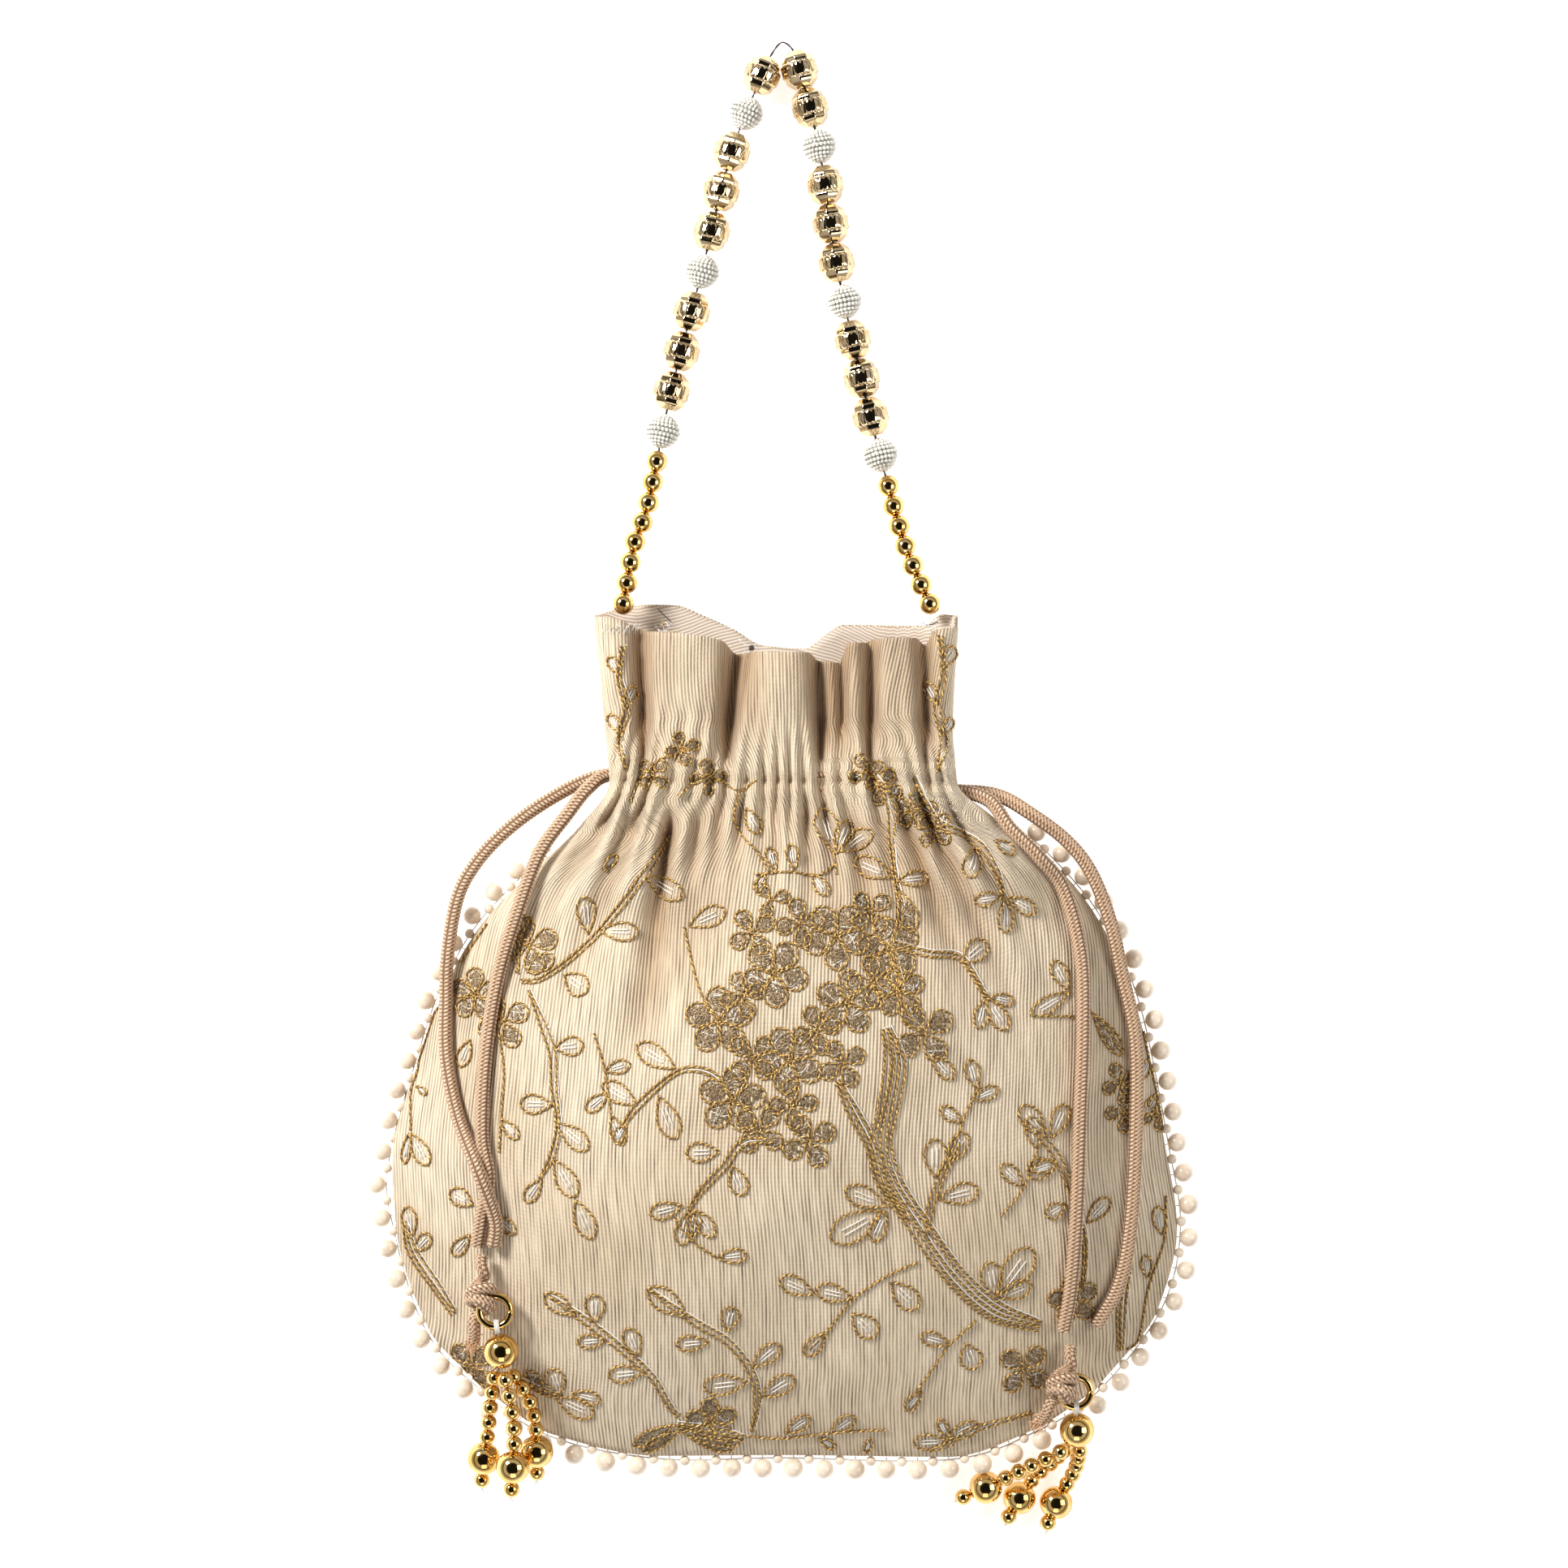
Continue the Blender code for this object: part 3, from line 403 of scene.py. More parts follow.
def node(tree, kind, inputs=(), **settings):
    """A shader node; inputs are (socket, value or another node's output) pairs."""
    made = tree.nodes.new("ShaderNode" + kind)
    for key, value in settings.items():
        setattr(made, key, value)
    for key, value in inputs:
        if isinstance(value, bpy.types.NodeSocket):
            tree.links.new(value, made.inputs[key])
        else:
            made.inputs[key].default_value = value
    return made


def sums(tree, operation, first, second=0.0, third=0.0):
    return node(tree, "Math", [(0, first), (1, second), (2, third)], operation=operation).outputs[0]


def ramp(tree, factor, *stops):
    """A colour ramp; stops are (position, colour)."""
    made = node(tree, "ValToRGB", [("Fac", factor)])
    row = made.color_ramp.elements
    while len(row) < len(stops):
        row.new(1.0)
    for element, (position, colour) in zip(row, stops):
        element.position = position
        element.color = (*colour, 1.0)
    return made.outputs["Color"]


def noise(tree, where, scale, detail=4.0, stretch=None):
    if stretch:
        where = node(tree, "Mapping", [("Vector", where), ("Scale", stretch)]).outputs[0]
    return node(tree, "TexNoise", [("Vector", where), ("Scale", scale), ("Detail", detail)]).outputs["Fac"]


def mixed(tree, factor, first, second, blend="MIX"):
    made = node(tree, "Mix", [(0, factor), (6, first), (7, second)], data_type="RGBA", blend_type=blend)
    return made.outputs[2]


def bumped(tree, shader, height, strength, distance):
    bump = node(tree, "Bump", [("Height", height), ("Strength", strength), ("Distance", distance)])
    tree.links.new(bump.outputs[0], shader.inputs["Normal"])


def shade_of(tree):
    return node(tree, "Attribute", attribute_name="shade").outputs["Fac"]


def cream_cloth():
    """Ribbed crepe: fine wavy lengthwise cords with painted shade in the gaps between them, which follow the
    cloth's own width; painted shade also darkens the folds.
    """
    made, tree, shader = finish_of("cream_crepe", (0.82, 0.66, 0.44), 0.82, Sheen_Weight=0.15)
    run = node(tree, "UVMap", uv_map="run").outputs[0]
    parts = node(tree, "SeparateXYZ", [(0, run)]).outputs
    wave = noise(tree, run, 60.0, 2.0, (1.0, 0.25, 1.0))
    across = sums(tree, "ADD", parts[0], sums(tree, "MULTIPLY", wave, 0.0016))
    rib = sums(tree, "SINE", sums(tree, "MULTIPLY", across, 2 * math.pi / RIB_PITCH))
    rib = sums(tree, "MULTIPLY_ADD", rib, 0.5, 0.5)
    broken = noise(tree, run, 700.0, 3.0, (1.0, 0.10, 1.0))
    # Painted shade in the grooves between the ribs: the colour darkens towards near black where the ribs'
    # bump is lowest.
    groove_shade = sums(tree, "MULTIPLY", sums(tree, "SUBTRACT", 1.0, rib),
               sums(tree, "MULTIPLY_ADD", broken, 1.3, -0.15))
    line = ramp(tree, groove_shade, (0.18, (0.80, 0.675, 0.50)), (0.44, (0.50, 0.39, 0.27)),
                (0.80, (0.11, 0.075, 0.048)))
    patch = noise(tree, run, 22.0, 3.0)
    tone = ramp(tree, patch, (0.35, (0.90, 0.86, 0.80)), (0.65, (1.0, 1.0, 1.0)))
    shaded_ribs_and_patches = mixed(tree, 1.0, line, tone, "MULTIPLY")
    # Painted shade in the folds: the colour darkens where the shade attribute, set from the fold depth, is
    # low.
    deep = ramp(tree, shade_of(tree), (0.0, (0.52, 0.38, 0.25)), (1.0, (1.0, 1.0, 1.0)))
    tree.links.new(mixed(tree, 1.0, shaded_ribs_and_patches, deep, "MULTIPLY"), shader.inputs["Base Color"])
    weft = node(tree, "TexWave", [("Vector", run), ("Scale", 260.0), ("Distortion", 1.5)],
                bands_direction="Y").outputs["Fac"]
    bumped(tree, shader, sums(tree, "MULTIPLY_ADD", weft, 0.25, rib), 0.8, 0.0003)
    return made


def lining_cloth():
    """Plain grey-beige weave with fine level lines and small dark flecks."""
    made, tree, shader = finish_of("grey_lining", (0.60, 0.50, 0.40), 0.8)
    run = node(tree, "UVMap", uv_map="run").outputs[0]
    lines = node(tree, "TexWave", [("Vector", run), ("Scale", 330.0), ("Distortion", 1.2)],
                 bands_direction="Y").outputs["Fac"]
    weave = ramp(tree, lines, (0.2, (0.46, 0.36, 0.28)), (0.8, (0.74, 0.64, 0.54)))
    flecks = node(tree, "TexVoronoi", [("Vector", run), ("Scale", 125.0)]).outputs["Distance"]
    dark = ramp(tree, flecks, (0.08, (0.10, 0.09, 0.12)), (0.13, (1.0, 1.0, 1.0)))
    tree.links.new(mixed(tree, 1.0, weave, dark, "MULTIPLY"), shader.inputs["Base Color"])
    bumped(tree, shader, lines, 0.5, 0.0002)
    return made


def zari(name, bright, dark, metallic, pitch=0.0016):
    """Twisted metal thread: bright plies that wind round each other, with painted shade in the grooves of
    the twist and a painted highlight on the crests.
    """
    made, tree, shader = finish_of(name, bright, 0.38, metallic)
    run = node(tree, "UVMap", uv_map="run").outputs[0]
    parts = node(tree, "SeparateXYZ", [(0, run)]).outputs
    phase = sums(tree, "MULTIPLY_ADD", parts[0], 1 / pitch, parts[1])
    ply = sums(tree, "SINE", sums(tree, "MULTIPLY", phase, 2 * math.pi))
    rough = noise(tree, run, 700.0, 2.0)
    mix = sums(tree, "ADD", sums(tree, "MULTIPLY_ADD", ply, 0.3, 0.35), sums(tree, "MULTIPLY", rough, 0.4))
    # The top colour of the ramp is a painted highlight; its dark end is painted shade in the grooves of the
    # twist.
    painted_highlight = tuple(min(1, 1.35 * c) for c in bright)
    tree.links.new(ramp(tree, mix, (0.25, dark), (0.55, bright), (0.9, painted_highlight)),
                   shader.inputs["Base Color"])
    bumped(tree, shader, ply, 0.7, 0.00012)
    return made


def braid():
    """Rose-tan braided cord, with painted light on the raised stitches and painted shade in the gaps between
    them.
    """
    made, tree, shader = finish_of("tan_braid", (0.58, 0.34, 0.20), 0.75, Sheen_Weight=0.1)
    place = node(tree, "TexCoord").outputs["Object"]
    fuzz = noise(tree, place, 2600.0, 3.0)
    # The shade attribute paints light on the raised stitches and shade, near black, in the gaps between
    # them.
    stitch = sums(tree, "ADD", shade_of(tree), sums(tree, "MULTIPLY_ADD", fuzz, 0.35, -0.17))
    colour = ramp(tree, stitch, (0.10, (0.07, 0.032, 0.015)), (0.36, (0.34, 0.19, 0.10)),
                  (0.66, (0.60, 0.41, 0.26)), (1.0, (0.84, 0.66, 0.48)))
    tree.links.new(colour, shader.inputs["Base Color"])
    bumped(tree, shader, fuzz, 0.5, 0.0002)
    return made


def metal(name, colour, tint, roughness):
    """Bright plated metal with faint handling marks."""
    made, tree, shader = finish_of(name, colour, roughness, 1.0)
    place = node(tree, "TexCoord").outputs["Object"]
    marks = noise(tree, place, 900.0, 5.0)
    tree.links.new(ramp(tree, noise(tree, place, 260.0, 2.0), (0.3, colour), (0.7, tint)),
                   shader.inputs["Base Color"])
    rough = sums(tree, "MULTIPLY_ADD", marks, 0.14, roughness - 0.05)
    tree.links.new(rough, shader.inputs["Roughness"])
    bumped(tree, shader, marks, 0.12, 0.00005)
    return made


def pearl(name, colour, cloud_and_core_shade, scale=220.0):
    """Nacre: a soft coat over a faintly clouded body; a low shade attribute, as on the pearl ball's core,
    pulls the colour to the dark end as painted shade.
    """
    made, tree, shader = finish_of(name, colour, 0.3, Coat_Weight=0.5, Coat_Roughness=0.1)
    cloud = noise(tree, node(tree, "TexCoord").outputs["Object"], scale, 3.0)
    tree.links.new(ramp(tree, sums(tree, "MULTIPLY", cloud, shade_of(tree)), (0.1, cloud_and_core_shade), (0.5, colour)),
                   shader.inputs["Base Color"])
    bumped(tree, shader, cloud, 0.08, 0.0001)
    return made


def thread_finish(name, colour, dark):
    """Plain thread, darker in its fuzz."""
    made, tree, shader = finish_of(name, colour, 0.6)
    fuzz = noise(tree, node(tree, "TexCoord").outputs["Object"], 2500.0, 3.0)
    tree.links.new(ramp(tree, fuzz, (0.3, dark), (0.65, colour)), shader.inputs["Base Color"])
    bumped(tree, shader, fuzz, 0.5, 0.0001)
    return made


CREAM = cream_cloth()
GREY = lining_cloth()
ZARI = zari("zari_outline", (0.74, 0.47, 0.14), (0.24, 0.14, 0.045), 0.45)
# The second ply of each couched line is painted shade: a dark tube that twists along the gold one.
ZARI_SHADE_PLY = zari("zari_painted_shade_ply", (0.30, 0.18, 0.075), (0.10, 0.055, 0.022), 0.3)
ZARI_FILL = zari("zari_fill", (0.40, 0.28, 0.15), (0.16, 0.105, 0.06), 0.3)
WHITE_ZARI = thread_finish("white_stitch", (0.93, 0.90, 0.84), (0.70, 0.64, 0.56))
BRAID = braid()
GOLD = metal("bright_gold_metal", (0.72, 0.43, 0.12), (0.84, 0.58, 0.24), 0.07)
CHAMPAGNE = metal("champagne_metal", (0.60, 0.42, 0.22), (0.76, 0.60, 0.38), 0.06)
# The second colour is the pearls' darker cloud tone; on the pearl ball's core it is painted shade.
IVORY = pearl("ivory_pearl", (0.88, 0.74, 0.58), (0.50, 0.34, 0.22))
PEARL_WHITE = pearl("white_pearl", (0.93, 0.90, 0.82), (0.35, 0.33, 0.28), 400.0)
WHITE = thread_finish("white_sewing_thread", (0.90, 0.88, 0.84), (0.62, 0.58, 0.52))
DARK = thread_finish("dark_sewing_thread", (0.09, 0.055, 0.04), (0.03, 0.02, 0.015))
ORANGE = thread_finish("frayed_cord_ends", (0.86, 0.55, 0.32), (0.50, 0.27, 0.14))


# ------------------------------------------------------------------------------------------ cloth
def flat_place(u, v):
    """Where (u, v) lies, seen from above: u runs from left to right, v from bottom to rim."""
    y = CORNER_Y + (RIM_Y - CORNER_Y) * v
    left, right = blended(LEFT_SEAM, y), blended(RIGHT_SEAM, y)
    bottom_x = BOTTOM_SEAM[0][0] + (BOTTOM_SEAM[-1][0] - BOTTOM_SEAM[0][0]) * u
    sag = blended(BOTTOM_SEAM, bottom_x) - CORNER_Y
    return (left + right) / 2 + (right - left) / 2 * (2 * u - 1), y + (1 - v) ** BOTTOM_SPREAD * sag


def bulge(u, v):
    """The share of the full height that the cloth reaches at (u, v)."""
    side = np.abs(2 * u - 1)
    return np.maximum(0.0, 1 - side ** blended(FULLNESS, v)) ** blended(ROUNDNESS, v)


def seam_gap(v, share):
    return blended(SLIT, v) * (1 - share * np.minimum(1.0, v / BOTTOM_EDGE))


def bell(distance):
    return np.exp(-distance**2)


def fold_depth(x, y, share):
    """How far the folds and gathers lower the front cloth, in metres."""
    above = np.clip((y - CASING_Y) / (RIM_Y - CASING_Y), 0, 1)
    below = np.clip((CASING_Y - y) / CASING_Y, 0, 2)
    depth = np.zeros_like(x)
    for foot, head, deep, half in RUFFLE_VALLEYS:
        centre = (foot + (head - foot) * above) * MM
        grown = np.where(y > CASING_Y, 0.25 + 0.75 * np.clip(above * 2.4, 0, 1), 0.25 * bell(below * 9))
        away = (x - centre) / (half * MM * (0.8 + 0.5 * above))
        depth += grown * deep * MM * (0.8 * bell(away) + 0.36 * bell(away / 2.8))
    for top, low_x, low_y, deep in BELLY_FOLDS:
        along = np.clip((CASING_Y - y) / (CASING_Y - low_y * MM * 0.75), 0, 1.3)
        centre = (top + (low_x - top) * along) * MM
        width = (1.5 + 4.2 * along) * MM
        fade = np.clip(1.1 - along, 0, 1) ** 0.7 * np.clip(along * 5, 0.0, 1) * (y <= CASING_Y)
        depth += fade * 1.45 * deep * MM * bell((x - centre) / width)
    spread = np.clip(1 + 1.1 * below - 0.25 * above, 0.6, 2)
    pitch = (CASING_PUCKERS * 2 * math.pi / 0.097) / spread
    pucker = 0.5 - 0.5 * np.cos(pitch * x + 1.9 * np.sin(x * 130) + 0.8 * np.sin(x * 310))
    near = bell(above / 0.34) * bell(below / 0.22)
    depth += CASING_PUCKER_DEPTH * 1.6 * near * pucker
    # The cloth is lifted over the cords, with the stitched line of the casing pressed in between.
    depth -= CASING_LIFT * bell((y - CASING_Y) / (10 * MM))
    depth += 1.6 * MM * bell((y - CASING_Y - 0.5 * MM) / (1.5 * MM))
    beyond_cords = np.maximum(np.abs(y - CASING_Y) - CORD_SPACING / 2 - CORD_RADIUS - 0.7 * MM, 0)
    depth = np.minimum(depth, CASING_DEEPEST + 1.4 * beyond_cords)
    return depth * np.clip(share * 1.4, 0, 1)


def puff(x, y):
    """Low uneven puffiness of the belly."""
    return 0.0009 * (np.sin(x * 61 + 1.0) * np.sin(y * 47 + 0.4) + 0.5 * np.sin(x * 118 - y * 83))


def front_surface(u, v):
    x, y = flat_place(u, v)
    share = bulge(u, v)
    z = blended(SEAM_HEIGHT, v) + seam_gap(v, share) + blended(FRONT_CROWN, v) * share
    rim = np.clip((v - 0.80) / 0.20, 0, 1) ** 1.5
    lean = 0.0
    for _, head, deep, _ in RUFFLE_VALLEYS[:6]:
        away = (x / MM - head) / 6.0
        lean = lean + np.sign(away) * np.abs(away) * np.exp(-away**2) * deep * 0.10
    x = x - lean * MM * np.clip((y - CASING_Y) / 0.012, 0, 1) * share
    sag = blended([(a * MM, b * MM) for a, b in FRONT_RIM], x)
    depth = fold_depth(x, y, share)
    calm = np.clip(v * 6, 0, 1) * share
    return np.stack([x, y - rim * sag, z - depth + puff(x, y) * calm], -1), depth


def back_surface(u, v):
    x, y = flat_place(u, v)
    share = bulge(u, v)
    z = blended(SEAM_HEIGHT, v) - seam_gap(v, share) - blended(BACK_DEPTH, v) * share
    rim = np.clip((v - 0.80) / 0.20, 0, 1) ** 1.5
    rise = blended([(a * MM, b * MM) for a, b in BACK_RIM], x)
    ripple = 0.0016 * (0.5 - 0.5 * np.cos(x * 640 + 2 * np.sin(x * 150))) * bell((y - CASING_Y) / 0.03)
    return np.stack([x, y + rim * rise, np.maximum(z + ripple * share, 0.0)], -1)


def lining_surface(u, v, side):
    """The lining: it follows each panel just inside it and stops short of the rim."""
    v = v * (LINING_TOP if side > 0 else BACK_LINING_TOP)
    outer = front_surface(u, v)[0] if side > 0 else back_surface(u, v)
    middle = blended(SEAM_HEIGHT, v)
    height = np.maximum(side * (outer[..., 2] - middle) - LINING_GAP, 0.0)
    inset = 1 - 0.012 * (1 - height / (height.max() + 1e-9))
    return np.stack([outer[..., 0] * inset, outer[..., 1] + LINING_LIFT * (1 - v) ** BOTTOM_SPREAD,
                     middle + side * height], -1)


def grid_shape(points, upward, shades=None):
    """A sheet's grid of points, whose run is the distance across and along the cloth itself."""
    rows, cols = points.shape[:2]
    steps_x = np.linalg.norm(np.diff(points[:, :, ::2], axis=1), axis=2)
    across = np.concatenate([np.zeros((rows, 1)), np.cumsum(steps_x, axis=1)], axis=1)
    across -= across[:, [cols // 2]]
    steps_y = np.linalg.norm(np.diff(points, axis=0), axis=2)
    along = np.concatenate([np.zeros((1, cols)), np.cumsum(steps_y, axis=0)], axis=0)
    faces = []
    for i in range(rows - 1):
        for k in range(cols - 1):
            a, b = i * cols + k, (i + 1) * cols + k
            faces.append((a, a + 1, b + 1, b) if upward else (a, b, b + 1, a + 1))
    made = Shape()
    tones = shades.ravel().tolist() if shades is not None else None
    made.add(points.reshape(-1, 3), faces, tones, np.stack([across, along], -1).reshape(-1, 2).tolist())
    return made


def thick(obj, thickness):
    change = obj.modifiers.new("thickness", "SOLIDIFY")
    change.thickness = thickness
    change.offset = -1


def columns(count):
    """Shares across the bag, a little closer together near its sides."""
    t = np.linspace(0, 1, count + 1)
    return 0.55 * t + 0.45 * (1 - np.cos(np.pi * t)) / 2


def build_cloth():
    """The two panels and the lining. Gives back the front's tree, for laying threads on it."""
    u, v = np.meshgrid(columns(FRONT_COLUMNS), np.linspace(0, 1, FRONT_ROWS + 1))
    points, depth = front_surface(u, v)
    # Painted shade: the deeper a fold, the lower the shade and the darker the cloth's colour there.
    tones = 1 - np.clip(depth / SHADED_DEPTH, 0, 1) ** 1.1 * DARKEST_SHADE
    front = grid_shape(points, True, tones)
    front = front.piece("front_cloth", CREAM, "bag", ["front_panel"], "cream_cloth")
    thick(front, CLOTH)
    u, v = np.meshgrid(columns(BACK_COLUMNS), np.linspace(0, 1, BACK_ROWS + 1))
    behind = back_surface(u, v)
    back = grid_shape(behind, False).piece("back_cloth", CREAM, "bag", ["back_panel"], "cream_cloth")
    thick(back, CLOTH)
    lining = Shape()
    for side in (1, -1):
        inner = lining_surface(u, v, side)
        part = grid_shape(inner, side > 0)
        lining.add(part.points, part.faces, part.shades, part.runs)
    inside = lining.piece("lining_cloth", GREY, "bag", ["lining"], "lining_cloth")
    thick(inside, LINING)
    tree_points = [tuple(p) for p in points.reshape(-1, 3)]
    cols = FRONT_COLUMNS + 1
    quads = [(i * cols + k, i * cols + k + 1, (i + 1) * cols + k + 1, (i + 1) * cols + k)
             for i in range(FRONT_ROWS) for k in range(FRONT_COLUMNS)]
    return BVHTree.FromPolygons(tree_points, quads)


# ----------------------------------------------------------------------------------------- pearls
def seam_outline():
    """The seam from the left end of the edging, round the bottom, to the right end."""
    left = [(x, y) for y, x in LEFT_SEAM if y < PEARL_TOPS[0] - 0.004][::-1]
    right = [(x, y) for y, x in RIGHT_SEAM if y < PEARL_TOPS[1] - 0.004]
    first = (float(blended(LEFT_SEAM, PEARL_TOPS[0] - 0.002)), PEARL_TOPS[0] - 0.002)
    last = (float(blended(RIGHT_SEAM, PEARL_TOPS[1] - 0.002)), PEARL_TOPS[1] - 0.002)
    flat = [first, *left, *BOTTOM_SEAM[1:-1], *right, last]
    return [(x, y, float(blended(SEAM_HEIGHT, (y - CORNER_Y) / (RIM_Y - CORNER_Y)))) for x, y in flat]


def build_pearls():
    """Large pearls with a seed pearl between each two, strung and sewn along the seam."""
    seam = curve_through(seam_outline(), PEARL_PITCH / 3)
    pearls, thread = Shape(), Shape()
    string = []
    for i, (before, here, after) in enumerate(zip(seam[:1] + seam, seam, seam[1:] + seam[-1:])):
        run = after - before
        out = Vector((run.y, -run.x, 0)).normalized()
        if i % 3 == 1:
            centre = here + (PEARL_OFFSET + random.uniform(-0.3, 0.3) * MM) * out
            centre.z += random.uniform(-0.4, 0.4) * MM
            pearls.ball(centre, PEARL_RADIUS * random.uniform(0.93, 1.0), 12, 16)
            thread.tube([here, centre], SEWING_RADIUS, 4)
        elif i % 3 == 2 and i + 1 < len(seam):
            centre = here + run.normalized() * PEARL_PITCH / 6 + SEED_PEARL_OFFSET * out
            pearls.ball(centre, SEED_PEARL_RADIUS, 8, 12)
        string.append(here + EDGING_THREAD_OFFSET * out)
    thread.tube(string, STRING_RADIUS, 4)
    pearls.piece("pearl_edging_beads", IVORY, "bag", ["pearl_edging"], "pearl")
    thread.piece("pearl_edging_thread", WHITE, "bag")


# -------------------------------------------------------------------------------------- drawcords
STITCH_PITCH = 0.0011
STITCH_COLUMNS = 6
CORD_STEP = 0.00026
CORD_SIDES = 20
KNOT_STEP = 0.00025
KNOT_TURNS = 2.6
KNOT_SPREAD = 0.0026  # how far the wrapped braid stands out from the knot's line
KNOT_BRAID_RADIUS = 0.0017
KNOT_HOOP_RADIUS = 0.0016
FRAYED_ENDS = 60
FRAYED_RADIUS = 0.00014


def knitted(distance, angle):
    """Chevron stitches of the braid: the share of the radius and the painted shade at a point of it, light
    on the raised stitches and dark in the grooves.
    """
    column = (angle / (2 * math.pi) * STITCH_COLUMNS) % 1.0
    slant = abs(column - 0.5) * 2
    wave = 0.5 + 0.5 * math.cos(2 * math.pi * (distance / STITCH_PITCH - 0.85 * slant))
    groove = min(1.0, 3.2 * min(column, 1 - column) + 0.25)
    raised = wave**0.7 * groove
    return 0.90 + 0.13 * raised, raised


def casing_run(side, y):
    """Both runs of a cord inside the casing, and its turn at the far side."""
    run = [(side * CASING_LEVEL_X, y, CASING_MID_Z + CORD_SPACING / 2)]
    run += [(side * x, y, CASING_MID_Z + CASING_HALF) for x in CASING_RUN_X]
    turn = []
    for step in range(7):
        angle = math.pi / 2 - math.pi * step / 6
        turn.append((-side * (CASING_TURN_X + CASING_HALF * math.cos(angle)), y,
                     CASING_MID_Z + CASING_HALF * math.sin(angle)))
    return [*run, *turn, *[(px, py, 2 * CASING_MID_Z - pz) for px, py, pz in run[::-1]]]


def build_cord(side, y, inner, outer, knot):
    """A braided drawcord: one leg, both runs inside the casing and the other leg."""
    sign = -1 if side == "left" else 1
    line = curve_through([*inner[::-1], *casing_run(sign, y), *outer], CORD_STEP)
    shape = Shape()
    shape.tube(line, CORD_RADIUS, CORD_SIDES, relief=knitted)
    cord = shape.piece(f"{side}_drawcord_braid", BRAID, f"{side}_cord", [f"{side}_drawcord"], "tan_cord")


def build_knot(side, route):
    """The cord's own overhand knot: two wrapped turns of braid, and its frayed ends."""
    shape, frayed = Shape(), Shape()
    spine = curve_through(route, 0.0004)
    count = len(spine)
    heart = route[2]
    line = []
    for i, here in enumerate(spine):
        share = i / (count - 1)
        turn = KNOT_TURNS * 2 * math.pi * share
        wide = KNOT_SPREAD * math.exp(-((share - 0.45) / 0.26) ** 2)
        ahead = (spine[min(i + 1, count - 1)] - spine[max(i - 1, 0)]).normalized()
        across = ahead.cross(Vector((0, 0, 1))).normalized()
        line.append(here + wide * (math.cos(turn) * across + math.sin(turn) * across.cross(ahead)))
    shape.tube(resampled(line, KNOT_STEP), KNOT_BRAID_RADIUS, CORD_SIDES, relief=knitted)
    for lift, tilt in ((0.0006, 0.5), (-0.0004, -0.7)):
        hoop = []
        for step in range(49):
            angle = 2 * math.pi * step / 48
            flat = Vector((3.1 * math.cos(angle), 1.2 * math.sin(angle) + tilt * math.cos(angle),
                           2.7 * math.sin(angle))) * MM
            hoop.append(Vector(heart) + flat + Vector((0, lift * 3, 0)))
        shape.tube(resampled(hoop, KNOT_STEP), KNOT_HOOP_RADIUS, CORD_SIDES, relief=knitted)
    end, before = spine[-1], spine[-8]
    out = (end - before).normalized()
    for _ in range(FRAYED_ENDS):
        start = end - 0.0015 * out + Vector([random.uniform(-1.3, 1.3) * MM for _ in range(3)])
        reach = out * random.uniform(1.6, 3.8) + Vector([random.uniform(-1.6, 1.6) for _ in range(3)])
        tip = start + reach * MM
        bent = (start + tip) / 2 + Vector([random.uniform(-0.7, 0.7) * MM for _ in range(3)])
        frayed.tube(curve_through([start, bent, tip], 0.0006), FRAYED_RADIUS, 4)
    body = f"{side}_cord"
    knot = shape.piece(f"{side}_knot_braid", BRAID, body, [f"{side}_cord_knot"], "tan_cord")
    frayed.piece(f"{side}_frayed_ends", ORANGE, body)
    return knot


# ---------------------------------------------------------------------------------------- tassels
def hoop_line(centre, major, place=None, count=48, extra=1):
    turn = place or Matrix.Identity(3)
    return [Vector(centre) + turn @ Vector((major * math.cos(2 * math.pi * i / count),
                                            major * math.sin(2 * math.pi * i / count), 0))
            for i in range(count + extra)]


def gold_outline(radius, length, bore, rings):
    """A round bead's outline from hole to hole, with a small rolled lip at each hole."""
    first = math.asin(min(1.0, 1.25 * bore / radius))
    angles = [first + (math.pi - 2 * first) * i / (rings - 1) for i in range(rings)]
    scale = length / 2 / (radius * math.cos(first))
    body = [(radius * math.sin(a), radius * math.cos(a) * scale) for a in angles]
    lip = [(bore, body[0][1] - 0.00025), (bore * 1.1, body[0][1] + 0.00004)]
    return [*lip, *body, *[(r, -z) for r, z in lip[::-1]]]


